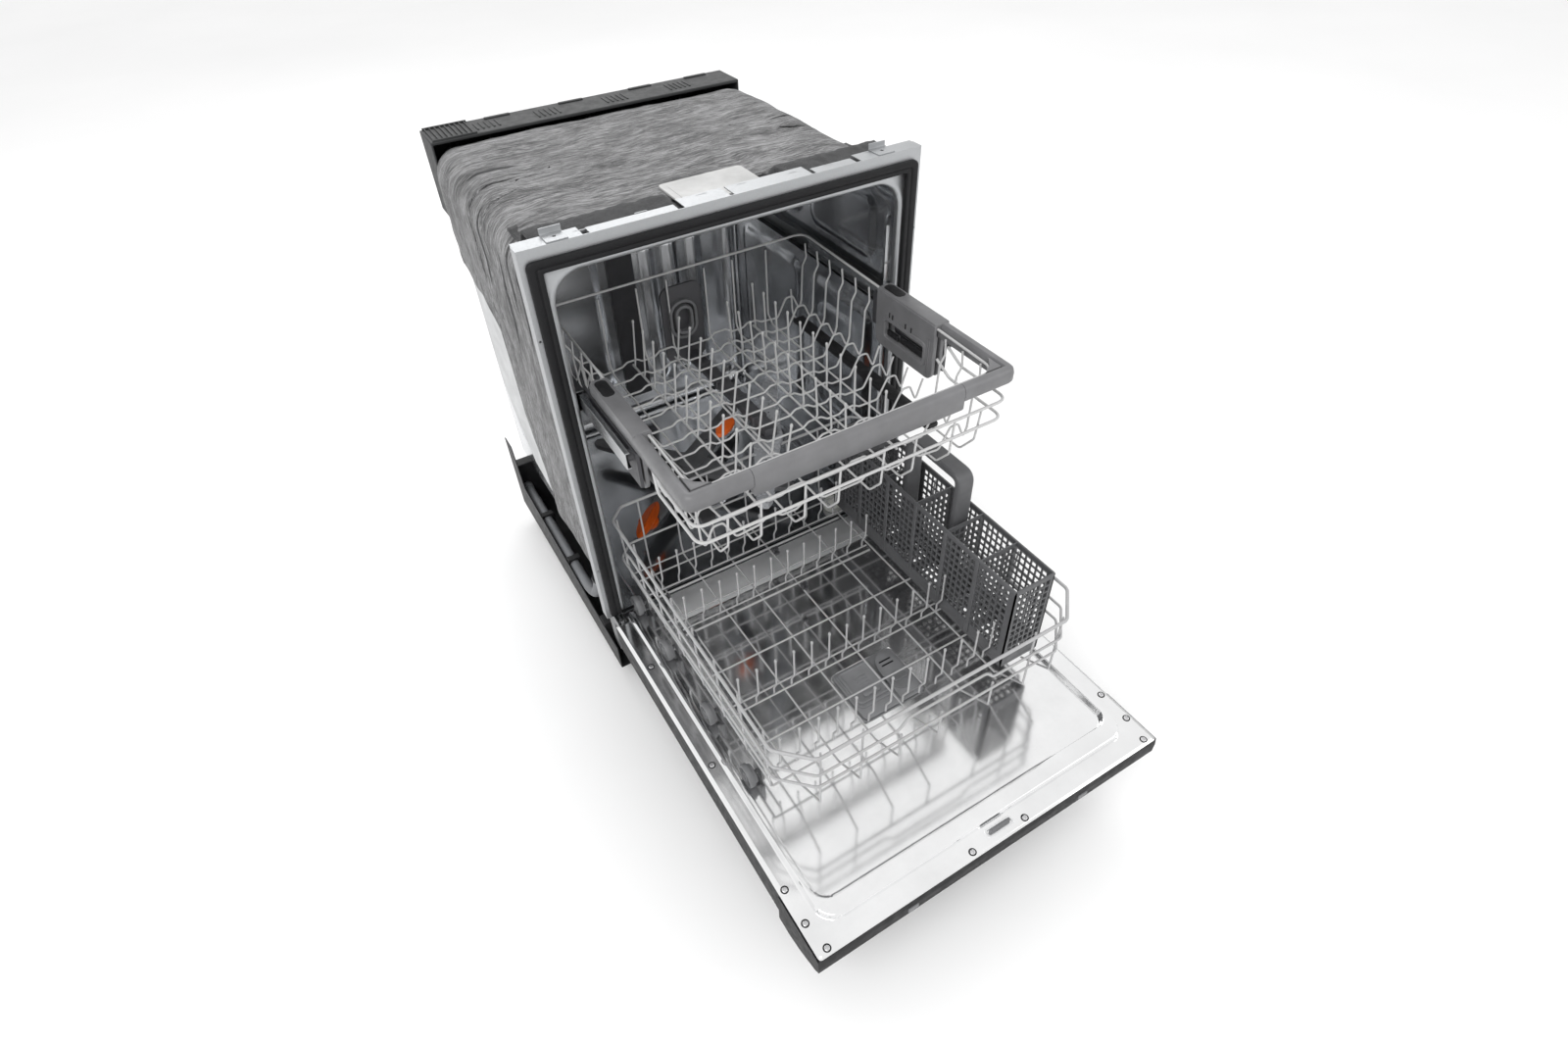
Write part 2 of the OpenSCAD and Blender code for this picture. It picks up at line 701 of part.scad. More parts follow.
module wheel_pair(i) color([0.50, 0.50, 0.52]) placed() {
    y = wheel_ys[i];
    both_sides()
        difference() {
            union() {
                along_x(wheel_x - 4.5, y, wheel_z, wheel_r - 3, wheel_w - 9);
                along_x(wheel_x + 2.5, y, wheel_z, wheel_r, wheel_w - 5);
            }
            along_x(wheel_x, y, wheel_z, wheel_bore, wheel_w + 4);
            for (a = [0:45:315])
                along_x(wheel_x + 9, y + 11 * cos(a), wheel_z + 11 * sin(a), 3, 12);
        }
}

module wheels_1() wheel_pair(0);
module wheels_2() wheel_pair(1);
module wheels_3() wheel_pair(2);
module wheels_4() wheel_pair(3);

basket_t = 2.4;
cells = 6;
window = 29;
bar = 3;

// One latticed wall in the XZ or YZ plane, drawn flat: w along the first axis, h up, with square windows.
module lattice(w, h, t) {
    nx = floor((w - 12) / window);
    nz = floor((h - 16) / window);
    px = (w - 12) / nx;
    pz = (h - 16) / nz;
    difference() {
        cube([w, t, h]);
        for (i = [0:nx - 1], k = [0:nz - 1])
            translate([6 + px * i + bar, -1, 8 + pz * k + bar])
                cube([px - 2 * bar, t + 2, pz - 2 * bar]);
    }
}

module cutlery_basket() color([0.27, 0.27, 0.29]) placed() {
    bw = basket_x.y - basket_x.x;
    bl = basket_y.y - basket_y.x;
    bh = basket_z.y - basket_z.x;
    translate([basket_x.x, basket_y.x, basket_z.x]) {
        difference() {
            cube([bw, bl, basket_t]);
            for (i = [0:13], k = [0:1])
                translate([7 + 31 * k, 7 + 31.4 * i, -1]) cube([28, 27, basket_t + 2]);
        }
        for (y = [0, bl - basket_t])
            translate([0, y, 0]) lattice(bw, bh, basket_t);
        for (x = [basket_t, bw])
            translate([x, 0, 0]) rotate([0, 0, 90]) lattice(bl, bh, basket_t);
        for (i = [1:cells - 1])
            translate([1, bl * i / cells, 1]) cube([bw - 2, basket_t, bh * 0.8]);
    }
    x0 = basket_x.x + bw / 2 - 15;
    y0 = (basket_y.x + basket_y.y) / 2 - 66;
    difference() {
        block([x0, y0, basket_z.x + 2], [x0 + 30, y0 + 132, 480]);
        block([x0 - 1, y0 + 14, basket_z.x], [x0 + 31, y0 + 118, 468]);
    }
}

// ---- door ----

rim_y0 = -16;
rim_y1 = -4;
band_out = 263;
band_in = 254;
band_y = -613;
band_end = 29;
ramp_y = [-64, -6];
ramp_rise = 8;
ramp_half = 208;

// A rounded rectangle that reaches from y0 past the door's hinge end.
module open_slab(half, y0, r, h) translate([0, (y0 + 80) / 2, 0]) slab(2 * half, 80 - y0, r, h);

module door_liner() color(stainless) placed() {
    z = door_plane;
    notch = 270;
    sheet = 2;
    difference() {
        union() {
            block([-door_half, -door_len, z - sheet], [door_half, rim_y0, z]);
            block([-notch, rim_y0 - 1, z - sheet], [notch, rim_y1, z]);
            translate([0, 0, z - 2 * sheet]) open_slab(band_out, band_y, 24, 2 * sheet + 7);
        }
        translate([0, 0, track_z]) open_slab(band_in, band_y + band_end, 18, 20);
        difference() {
            translate([0, 0, z - 5]) open_slab(band_out - sheet, band_y + sheet, 22, 10);
            translate([0, 0, z - 6]) open_slab(band_in + sheet, band_y + band_end - sheet, 20, 12);
        }
        block([-300, rim_y1, z - 20], [300, 90, z + 20]);
        translate([disp_x, disp_y, z - 20]) slab(104, 88, 8, 40);
        for (p = screw_points)
            translate([p.x, p.y, z - 5]) cylinder(h = 10, r = 2.2);
        block([-12, -628, z - 5], [28, -621, z + 5]);
    }
    // The ramp that sheds water into the tub.
    side_prism([[ramp_y.x, track_z - 1], [ramp_y.y, track_z - 1], [ramp_y.y, track_z + ramp_rise]], -ramp_half, ramp_half);
}

screw_points = [[-279, -123], [-279, -333], [-284, -544], [-284, -594], [-277, -633], [-46, -633], [46, -633],
    [277, -633], [284, -594], [284, -544], [279, -333], [279, -123]];

module door_screws() color([0.80, 0.80, 0.80]) placed() {
    for (p = screw_points)
        translate([p.x, p.y, door_plane]) difference() {
            cylinder(h = 2, r = 4.4);
            for (a = [0, 90])
                rotate(a) translate([-2.6, -0.5, 1]) cube([5.2, 1, 2]);
        }
}

module door_outer_panel() color(black) placed() {
    z0 = door_plane - door_t;
    difference() {
        block([-door_half, -546, z0], [door_half, rim_y0, door_plane - 2.1]);
        block([-door_half + 2, -547, z0 + 1.5], [door_half - 2, rim_y0 - 1.5, door_plane]);
        both_sides() block([277, rim_y0 - 2, 149], [284, rim_y0 + 1, 187]);
        block([-band_out - 3, rim_y0 - 3, door_plane - 4.2], [band_out + 3, rim_y0 + 1, door_plane]);
    }
}

module door_console() color([0.06, 0.06, 0.07]) placed() {
    z = door_plane;
    outer = [[-546.2, z - 2.2], [-door_len, z - 2.2], [-door_len - 2, z - 14], [-door_len - 2, z - 32],
        [-door_len + 6, z - 40], [-600, z - 58], [-572, z - 66], [-546.2, z - 66]];
    inner = [[-552, z - 8], [-door_len + 4, z - 8], [-door_len + 4, z - 34], [-598, z - 52], [-574, z - 60],
        [-552, z - 60]];
    difference() {
        side_prism(outer, -door_half - 3, door_half + 3);
        side_prism(inner, -door_half + 3, door_half - 3);
        block([-90, -610, z - 80], [90, -566, z - 30]);
        for (x = button_xs)
            block([x - 9, -door_len - 10, z - 27], [x + 9, -door_len + 10, z - 17]);
        for (p = screw_points)
            translate([p.x, p.y, z - 12]) cylinder(h = 12, r = 2);
        block([-12, -628, z - 12], [28, -621, z]);
        block([-band_out - 1, band_y - 1, z - 4.2], [band_out + 1, -540, z]);
    }
    difference() {
        block([-93, -613, z - 64], [93, -563, z - 27]);
        block([-90, -610, z - 80], [90, -566, z - 30]);
    }
}

button_xs = [-150, 150];

module button(x) color([0.30, 0.30, 0.32]) placed() {
    z = door_plane - 22;
    block([x - 8.5, -door_len - 3.5, z - 4.5], [x + 8.5, -door_len + 8, z + 4.5]);
}

module power_button() button(button_xs.x);
module start_button() button(button_xs.y);

module control_board() color([0.10, 0.32, 0.16]) placed()
    block([-200, -door_len + 12, door_plane - 26], [200, -616, door_plane - 24]);

module door_latch() color([0.35, 0.35, 0.37]) placed() {
    block([-10, -627, door_plane - 9], [26, -622, door_plane + 6]);
}

module dispenser_body() color([0.60, 0.60, 0.61]) placed() translate([disp_x, disp_y, door_plane]) {
    difference() {
        union() {
            translate([0, 0, -2]) slab(112, 96, 9, 8);
            translate([0, 0, -30]) slab(102, 86, 7, 28.1);
        }
        translate([-22, 8, -26]) slab(50, 60, 6, 40);
        translate([30, -18, -18]) cylinder(h = 40, r = 15);
    }
}

module dispenser_lid() color([0.66, 0.66, 0.67]) placed()
    translate([disp_x - 22, disp_y + 8, door_plane + 6.3]) {
        slab(56, 66, 7, 4);
        translate([0, -22, 4]) slab(30, 8, 3, 3);
    }

module rinse_cap() color([0.45, 0.45, 0.47]) placed() translate([disp_x + 30, disp_y - 18, door_plane]) {
    translate([0, 0, -14]) cylinder(h = 21, r = 14.5);
    translate([0, 0, 6.3]) cylinder(h = 4, r = 17);
    block([-12, -2.5, 10], [12, 2.5, 15]);
}

module door_hinge_arms() color([0.40, 0.41, 0.42]) placed() {
    both_sides()
        difference() {
            union() {
                side_prism([[-120, 150], [-20, 150], [-14, 172], [4, 172], [30, 146], [36, 150], [8, 182],
                    [-12, 186], [-15, 180], [-120, 180]], 278, 283);
                along_x(280.5, hinge_y, hinge_z, 8, 5);
            }
            along_x(280.5, hinge_y, hinge_z, pin_r + 0.05, 9);
        }
}

tub();
tub_front_flange();
tub_gasket();
insulation_blanket();
side_sheets();
rear_top_cover();
label_plate();
top_brackets();
base_frame();
hinge_brackets();
toe_kick();
foot_left();
foot_right();
sump();
filter_plate();
filter_cup();
circulation_pump();
drain_pump();
inlet_valve();
drain_hose();
hose_clips();
junction_box();
supply_duct();
ceiling_nozzle();
rack_rails();
rail_slides();
overfill_float();
lower_spray_arm();
arm_satellite();
rack_carriers();
upper_rack_wires();
upper_tines_left();
upper_tines_right();
upper_rack_handle();
rack_adjusters();
upper_feed_tube();
upper_spray_arm();
shelf_bars();
lower_rack_rims();
lower_rack_floor();
lower_tines_rear();
lower_tines_middle();
rack_clips();
cutlery_basket();
wheels_1();
wheels_2();
wheels_3();
wheels_4();
door_liner();
door_outer_panel();
door_console();
control_board();
power_button();
start_button();
door_latch();
door_screws();
dispenser_body();
dispenser_lid();
rinse_cap();
door_hinge_arms();
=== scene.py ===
"""Looks for a built-in dishwasher with its door down and both racks drawn out."""
import math

import bmesh
import bpy
from mathutils import Matrix, Vector, noise


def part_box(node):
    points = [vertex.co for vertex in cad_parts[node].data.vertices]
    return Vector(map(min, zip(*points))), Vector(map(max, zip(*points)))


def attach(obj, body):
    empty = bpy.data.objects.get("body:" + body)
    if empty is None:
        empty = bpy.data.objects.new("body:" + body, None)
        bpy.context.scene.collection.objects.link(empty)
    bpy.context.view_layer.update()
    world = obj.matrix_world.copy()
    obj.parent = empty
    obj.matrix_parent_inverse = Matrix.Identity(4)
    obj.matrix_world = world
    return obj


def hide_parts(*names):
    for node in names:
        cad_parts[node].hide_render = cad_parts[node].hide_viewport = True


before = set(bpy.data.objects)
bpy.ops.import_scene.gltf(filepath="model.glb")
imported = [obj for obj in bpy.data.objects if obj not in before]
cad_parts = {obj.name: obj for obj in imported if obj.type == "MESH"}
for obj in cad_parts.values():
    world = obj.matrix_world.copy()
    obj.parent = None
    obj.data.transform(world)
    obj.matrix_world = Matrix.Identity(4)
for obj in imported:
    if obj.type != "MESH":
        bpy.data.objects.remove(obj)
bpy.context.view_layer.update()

# Cabinet millimetres: X to the right, Y back from the seal frame's front plane, Z up from the floor.
MM = 0.001
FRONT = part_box("tub_gasket")[0].y
SIDES = (-1, 1)
BEVEL_ANGLE = 35  # degrees between faces from which an edge of a CAD shape is rounded
WIRE = 1.6  # radius of the racks' thinner wires
THICK_WIRE = 2.0


def mm(value):
    """A length in the frame, as millimetres."""
    return value / MM


def at(x, y, z):
    """A point in the frame, from cabinet millimetres."""
    return Vector((x * MM, FRONT + y * MM, z * MM))


def limits(node):
    """A CAD node's lowest and highest corners in cabinet millimetres."""
    low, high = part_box(node)
    return [(mm(c.x), mm(c.y - FRONT), mm(c.z)) for c in (low, high)]


# ---- mesh helpers ----


class Mesh:
    """Collects vertices and faces, in cabinet millimetres, for one piece."""

    def __init__(self):
        self.verts, self.faces = [], []

    def add(self, verts, faces):
        base = len(self.verts)
        self.verts += [at(*v) for v in verts]
        self.faces += [[i + base for i in f] for f in faces]

    def loft(self, loops, cyclic=False, cap=True):
        """Skins closed loops of the same length one after another."""
        n, rows = len(loops[0]), len(loops)
        faces = []
        for k in range(rows if cyclic else rows - 1):
            a, b = k * n, ((k + 1) % rows) * n
            faces += [[a + i, a + (i + 1) % n, b + (i + 1) % n, b + i] for i in range(n)]
        if cap and not cyclic:
            faces += [list(reversed(range(n))), [(rows - 1) * n + i for i in range(n)]]
        self.add([p for loop in loops for p in loop], faces)

    def tube(self, points, radius, sides=8, cyclic=False, tip=0.0):
        """A round wire along points, its radius a number or a function of the point's place in the path.

        tip widens its last end into a small ball of that radius.
        """
        path = [Vector(p) for p in points]
        radii = [radius(k) if callable(radius) else radius for k in range(len(path))]
        if tip:
            end = path[-1]
            back = (path[-2] - end).normalized()
            path = path[:-1] + [end + back * tip * k for k in (2.0, 1.4, 0.7, 0.0, -0.6)]
            radii = radii[:-1] + [radius, tip * 0.85, tip, tip * 0.9, tip * 0.55]
        loops, side, count = [], None, len(path)
        for i, p in enumerate(path):
            before = path[i - 1] if i or cyclic else path[0]
            after = path[(i + 1) % count] if i < count - 1 or cyclic else path[-1]
            along = (after - before).normalized()
            if side is None:
                side = along.orthogonal().normalized()
            side = (side - along * side.dot(along)).normalized()
            other = along.cross(side)
            loops.append([
                p + (side * math.cos(a) + other * math.sin(a)) * radii[i]
                for a in (math.tau * k / sides for k in range(sides))
            ])
        self.loft(loops, cyclic)

    def wire(self, points, corner, steps, radius=WIRE, cyclic=False, **more):
        """A tube along a polyline whose corners are rounded."""
        self.tube(bend(points, corner, steps, cyclic), radius, cyclic=cyclic, **more)

    def stack(self, outline, levels, axis="z", cyclic=False):
        """Skins one outline at each (inset, height) along an axis."""
        self.loft([ring(outline, height, axis, cut) for cut, height in levels], cyclic)

    def prism(self, outline, low, high, bevel=0.8, axis="z"):
        """An outline of (u, v) points pushed along an axis from low to high, with rounded edges."""
        steps = [(bevel, 0.0), (0.3 * bevel, 0.3 * bevel), (0.0, bevel)]
        levels = [(cut, low + rise) for cut, rise in steps]
        levels += [(cut, high - rise) for cut, rise in reversed(steps)]
        self.stack(outline, levels, axis)

    def block(self, low, high, bevel=0.8, corner=2.0, axis="z"):
        """A box with rounded edges and corners."""
        u0, v0, w0 = to_axis(low, axis)
        u1, v1, w1 = to_axis(high, axis)
        self.prism(round_rect(u0, u1, v0, v1, corner), w0, w1, bevel, axis)

    def side_block(self, side, near, far, low, high, bevel, corner):
        """A block on the left (-1) or right (1), from near to far off the middle; low and high are (y, z)."""
        x0, x1 = sorted((side * near, side * far))
        self.block((x0, *low), (x1, *high), bevel, corner)

    def lathe(self, profile, centre, axis="z", steps=32, closed=False):
        """A (radius, height) profile turned about an axis through the centre; closed joins its ends."""
        loops = []
        for radius, height in profile:
            circle = ring([(radius * math.cos(a), radius * math.sin(a)) for a in turns(steps)], height, axis)
            loops.append([tuple(c + o for c, o in zip(centre, offset)) for offset in circle])
        self.loft(loops, cyclic=closed)

    def grid(self, us, vs, place, keep=lambda u, v: True):
        """A sheet over the lines us and vs; keep says which cells stay."""
        n = len(vs)
        verts = [place(u, v) for u in us for v in vs]
        faces = []
        for i in range(len(us) - 1):
            for j in range(n - 1):
                if keep((us[i] + us[i + 1]) / 2, (vs[j] + vs[j + 1]) / 2):
                    faces.append([i * n + j, (i + 1) * n + j, (i + 1) * n + j + 1, i * n + j + 1])
        self.add(verts, faces)

    def lattice(self, us, vs, low, high, hole, axis="z"):
        """A plate over the lines us and vs, from low to high, with a window where hole(i, j) is true."""
        n = len(vs)
        verts = [axes(u, v, w, axis) for w in (low, high) for u in us for v in vs]
        level = len(us) * n
        solid = lambda i, j: 0 <= i < len(us) - 1 and 0 <= j < n - 1 and not hole(i, j)
        faces = []
        for i in range(len(us) - 1):
            for j in range(n - 1):
                if not solid(i, j):
                    continue
                a, b, c, d = i * n + j, (i + 1) * n + j, (i + 1) * n + j + 1, i * n + j + 1
                faces += [[d, c, b, a], [a + level, b + level, c + level, d + level]]
                for (p, q), (di, dj) in (
                    ((a, b), (0, -1)), ((b, c), (1, 0)), ((c, d), (0, 1)), ((d, a), (-1, 0))
                ):
                    if not solid(i + di, j + dj):
                        faces.append([p, q, q + level, p + level])
        self.add(verts, faces)

    def build(self, name, body, slot, material, nodes=(), sharp=40):
        """Makes the object, rides it on its body and says which CAD nodes it stands for."""
        mesh = bpy.data.meshes.new(name)
        mesh.from_pydata([tuple(v) for v in self.verts], [], self.faces)
        work = bmesh.new()
        work.from_mesh(mesh)
        loose = [v for v in work.verts if not v.link_faces]
        bmesh.ops.delete(work, geom=loose, context="VERTS")
        bmesh.ops.recalc_face_normals(work, faces=work.faces)
        work.to_mesh(mesh)
        work.free()
        return finish_piece(name, mesh, body, slot, material, nodes, sharp)


def finish_piece(name, mesh, body, slot, material, nodes, sharp=40):
    """The shared end of every new piece."""
    mesh.shade_smooth()
    mesh.set_sharp_from_angle(angle=math.radians(sharp))
    obj = bpy.data.objects.new(name, mesh)
    bpy.context.scene.collection.objects.link(obj)
    mesh.materials.clear()
    mesh.materials.append(material)
    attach(obj, body)
    if nodes:
        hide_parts(*nodes)
    return obj


def axes(u, v, w, axis):
    """A point from its place in a plane and its height along that plane's axis."""
    return {"z": (u, v, w), "y": (u, w, v), "x": (w, u, v)}[axis]


def ring(outline, height, axis="z", cut=0):
    """The points of an outline at a height along an axis, moved inward by cut."""
    return [axes(u, v, height, axis) for u, v in (inset(outline, cut) if cut else outline)]


def turns(steps):
    """The angles of a full turn in even steps."""
    return [math.tau * k / steps for k in range(steps)]


def to_axis(p, axis):
    """The inverse of axes()."""
    return {"z": (p[0], p[1], p[2]), "y": (p[0], p[2], p[1]), "x": (p[1], p[2], p[0])}[axis]


def round_rect(u0, u1, v0, v1, corner, steps=5):
    """The outline of a rectangle with rounded corners; corner is one radius or (low side, high side)."""
    low, high = corner if isinstance(corner, tuple) else (corner, corner)
    points = []
    for cu, cv, start, r in (
        (u1, v1, 0, high), (u0, v1, 90, high), (u0, v0, 180, low), (u1, v0, 270, low)
    ):
        mu = cu - r if cu == u1 else cu + r
        mv = cv - r if cv == v1 else cv + r
        for k in range(steps + 1):
            a = math.radians(start + 90 * k / steps)
            points.append((mu + r * math.cos(a), mv + r * math.sin(a)))
    return points


def inset(outline, cut):
    """An outline moved inward by cut."""
    n = len(outline)
    pairs = [(outline[i], outline[(i + 1) % n]) for i in range(n)]
    turn = 1 if sum(p[0] * q[1] - q[0] * p[1] for p, q in pairs) > 0 else -1
    result = []
    for i in range(n):
        p = Vector(outline[i])
        a = p - Vector(outline[i - 1])
        b = Vector(outline[(i + 1) % n]) - p
        a = a.normalized() if a.length > 1e-6 else b.normalized()
        b = b.normalized() if b.length > 1e-6 else a
        normal = Vector((-(a.y + b.y), a.x + b.x)) * turn
        scale = max(normal.length, 0.3)
        result.append(tuple(p + normal * (2 * cut / scale ** 2)))
    return result


def bend(points, radius, steps=5, cyclic=False):
    """A polyline with its corners rounded."""
    points = [Vector(p) for p in points]
    count = len(points)
    result = []
    for i, p in enumerate(points):
        if not cyclic and i in (0, count - 1):
            result.append(p)
            continue
        u = points[i - 1] - p
        v = points[(i + 1) % count] - p
        half = u.angle(v) / 2
        if half > math.radians(88):
            result.append(p)
            continue
        cut = min(radius / math.tan(half), 0.48 * u.length, 0.48 * v.length)
        start, end = p + u.normalized() * cut, p + v.normalized() * cut
        for k in range(steps + 1):
            t = k / steps
            result.append(start * (1 - t) ** 2 + p * (2 * t * (1 - t)) + end * t ** 2)
    return result


def spread(low, high, step):
    """Evenly spaced values from low to high, about step apart."""
    n = max(1, round((high - low) / step))
    return [low + (high - low) * k / n for k in range(n + 1)]


def lines(*runs):
    """Grid lines from runs of (low, high, step)."""
    values = []
    for low, high, step in runs:
        values += [v for v in spread(low, high, step) if not values or v > values[-1] + 0.01]
    return values


def smooth(t):
    """An S-shaped step from 0 to 1."""
    t = min(1.0, max(0.0, t))
    return t * t * (3 - 2 * t)


def inside(x, y, x0, x1, y0, y1, r):
    """How far a point lies inside a rounded rectangle; negative outside."""
    dx = max(x0 - x, x - x1)
    dy = max(y0 - y, y - y1)
    qx, qy = dx + r, dy + r
    return -(min(max(qx, qy), 0.0) + math.hypot(max(qx, 0.0), max(qy, 0.0)) - r)


def thickened(obj, name, thickness, offset=-1.0):
    """Gives a sheet its thickness in millimetres; offset says on which side of its faces."""
    sheet = obj.modifiers.new(name, "SOLIDIFY")
    sheet.thickness = thickness * MM
    sheet.offset = offset


def softened(node, body, slot, material, width):
    """A CAD node's shape with its hard edges rounded, standing for that node."""
    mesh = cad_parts[node].data.copy()
    work = bmesh.new()
    work.from_mesh(mesh)
    bmesh.ops.remove_doubles(work, verts=work.verts, dist=0.005 * MM)
    bmesh.ops.dissolve_limit(work, angle_limit=math.radians(1.5), verts=work.verts, edges=work.edges)
    work.to_mesh(mesh)
    work.free()
    obj = finish_piece(node + "_shell", mesh, body, slot, material, [node], BEVEL_ANGLE)
    bevel = obj.modifiers.new("edges", "BEVEL")
    bevel.width = width * MM
    bevel.segments = 2
    bevel.limit_method = "ANGLE"
    bevel.angle_limit = math.radians(BEVEL_ANGLE)


# ---- materials ----


class Shader:
    """A Principled material and short calls for its nodes."""

    def __init__(self, name, **values):
        self.material = bpy.data.materials.new(name)
        self.material.use_nodes = True
        self.tree = self.material.node_tree
        self.main = self.tree.nodes["Principled BSDF"]
        for socket, value in values.items():
            self.main.inputs[socket.replace("_", " ")].default_value = value
        self.coords = self.node("TexCoord").outputs["Object"]

    def node(self, kind, **values):
        """A new node with values set on its sockets."""
        node = self.tree.nodes.new("ShaderNode" + kind)
        for socket, value in values.items():
            node.inputs[socket.replace("_", " ")].default_value = value
        return node

    def link(self, output, node, socket):
        self.tree.links.new(output, node.inputs[socket])

    def noise(self, size, stretch=(1, 1, 1), detail=3.0, rough=0.55, warp=None):
        """Noise with features of about that many millimetres, longer along a stretched axis."""
        place = self.node("Mapping", Scale=[1 / (size * MM * s) for s in stretch])
        self.link(warp or self.coords, place, "Vector")
        texture = self.node("TexNoise", Scale=1.0, Detail=detail, Roughness=rough)
        self.link(place.outputs["Vector"], texture, "Vector")
        return texture.outputs["Fac"]

    def ramp(self, fac, stops):
        """Colours by a value; a stop is (place, colour)."""
        node = self.node("ValToRGB")
        elements = node.color_ramp.elements
        while len(elements) < len(stops):
            elements.new(0.5)
        for element, (place, colour) in zip(elements, stops):
            element.position = place
            element.color = (*colour, 1.0)
        self.link(fac, node, "Fac")
        return node.outputs["Color"]

    def span(self, fac, low, high, start=0.3, end=0.7):
        """Maps a value from start..end to low..high."""
        node = self.node("MapRange", From_Min=start, From_Max=end, To_Min=low, To_Max=high)
        self.link(fac, node, "Value")
        return node.outputs["Result"]

    def mix(self, a, b, share):
        """The sum of two values, each first multiplied by its share."""
        total = self.node("Math")
        total.operation = "ADD"
        for k, (value, part) in enumerate(((a, share[0]), (b, share[1]))):
            scaled = self.node("Math")
            scaled.operation = "MULTIPLY"
            self.link(value, scaled, 0)
            scaled.inputs[1].default_value = part
            self.link(scaled.outputs[0], total, k)
        return total.outputs[0]

    def warped(self, size, amount):
        """Coordinates pushed about by broad noise, in metres."""
        push = self.node("TexNoise", Scale=1 / (size * MM), Detail=2.0)
        self.link(self.coords, push, "Vector")
        shift = self.node("VectorMath")
        shift.operation = "MULTIPLY_ADD"
        shift.inputs[1].default_value = [amount * MM] * 3
        self.link(push.outputs["Color"], shift, 0)
        self.link(self.coords, shift, 2)
        return shift.outputs["Vector"]

    def bump(self, height, depth, strength=0.6):
        """Relief of about depth millimetres."""
        node = self.node("Bump", Distance=depth * MM, Strength=strength)
        self.link(height, node, "Height")
        self.link(node.outputs["Normal"], self.main, "Normal")

    def colour(self, output):
        self.link(output, self.main, "Base Color")

    def roughness(self, output):
        self.link(output, self.main, "Roughness")


def shade(colour, factor):
    """A colour made lighter or darker."""
    return tuple(min(1.0, c * factor) for c in colour)


def plastic(name, colour, rough=0.42, grain=0.35, depth=0.03, **values):
    """Moulded plastic: a fine spark-eroded grain, slight cloudiness and worn patches of gloss."""
    s = Shader(name, **values)
    cloud = s.noise(38, detail=4)
    s.colour(s.ramp(cloud, [(0.3, shade(colour, 0.88)), (0.7, shade(colour, 1.12))]))
    s.roughness(s.span(s.noise(11, detail=5), rough - 0.07, rough + 0.09))
    s.bump(s.noise(grain, detail=2), depth)
    return s.material


def steel(name, colour, rough, brush=(1, 1, 1), spread_of_gloss=0.05, wave=0.25):
    """Rolled sheet steel: a fine directional brushing, a slight waviness and faint smudges."""
    s = Shader(name, Metallic=1.0)
    smudge = s.noise(90, detail=5, rough=0.6)
    s.colour(s.ramp(smudge, [(0.3, shade(colour, 0.93)), (0.7, shade(colour, 1.04))]))
    fine = s.noise(0.5, stretch=brush, detail=2)
    mixed = s.mix(fine, smudge, (0.6, 0.4))
    s.roughness(s.span(mixed, rough - spread_of_gloss, rough + spread_of_gloss))
    s.bump(s.noise(55, detail=1), wave, 0.35)
    return s.material


def coated_wire(name, colour):
    """Nylon powder on wire: an orange-peel skin with thin, slightly darker low spots."""
    s = Shader(name, Coat_Weight=0.35, Coat_Roughness=0.25)
    peel = s.noise(1.1, detail=3)
    s.colour(s.ramp(peel, [(0.32, shade(colour, 0.86)), (0.68, shade(colour, 1.06))]))
    s.roughness(s.span(s.noise(7), 0.26, 0.42))
    s.bump(peel, 0.12)
    return s.material


def felt(name, dark, light, streak):
    """Needled felt of mixed fibres, drawn out across the roll so that it shows wavy streaks."""
    s = Shader(name, Roughness=0.95, Sheen_Weight=0.12, Sheen_Roughness=0.6)
    flow = s.warped(90, 30)
    streaks = s.noise(1.9, stretch=(streak, 0.8, streak), detail=6, rough=0.7, warp=flow)
    hairs = s.noise(0.9, stretch=(streak, 0.7, streak), detail=4, rough=0.7, warp=flow)
    clouds = s.noise(26, stretch=(3, 1, 3), detail=4, rough=0.6, warp=flow)
    fibres = s.mix(streaks, hairs, (0.55, 0.45))
    value = s.mix(fibres, clouds, (0.84, 0.16))
    middle = tuple((a + b) / 3.4 for a, b in zip(dark, light))
    s.colour(s.ramp(value, [(0.43, dark), (0.495, middle), (0.56, light)]))
    s.bump(fibres, 1.6, 0.9)
    return s.material


STAINLESS = steel("stainless", (0.62, 0.63, 0.645), 0.17, brush=(1, 1, 60), wave=0.5)
LINER = steel("door_liner_steel", (0.92, 0.922, 0.925), 0.12, brush=(60, 1, 1), spread_of_gloss=0.03,
              wave=0.12)
GALVANISED = steel("galvanised", (0.44, 0.45, 0.46), 0.45, brush=(4, 4, 4), spread_of_gloss=0.1, wave=0.1)
BRIGHT = steel("brushed_ramp", (0.86, 0.865, 0.87), 0.5, brush=(60, 1, 1), wave=0.1)
DARK_STEEL = steel("dark_steel", (0.22, 0.225, 0.23), 0.35, brush=(1, 30, 1))
SLIDE_STEEL = steel("slide_steel", (0.5, 0.51, 0.52), 0.25, brush=(1, 60, 1))
SCREW_STEEL = steel("screw_steel", (0.7, 0.7, 0.71), 0.25)
# Black of the seal frame and screw rings, also used as the painted shade inside the dispenser hood's slots.
SEAL_AND_SLOT_SHADE = plastic("seal_black_and_slot_shade", (0.010, 0.010, 0.011), 0.5, depth=0.02, Specular_IOR_Level=0.22)
BLACK = plastic("black_moulding", (0.013, 0.013, 0.014), 0.5, Specular_IOR_Level=0.3)
COVER = plastic("cover_charcoal", (0.034, 0.035, 0.036), 0.55, grain=0.5, depth=0.06, Specular_IOR_Level=0.3)
DOOR_BLACK = plastic("door_black", (0.008, 0.008, 0.009), 0.45, grain=0.6, depth=0.02,
                     Specular_IOR_Level=0.15)
FILM = plastic("white_film", (0.52, 0.525, 0.53), 0.6, grain=2.5, depth=0.1)
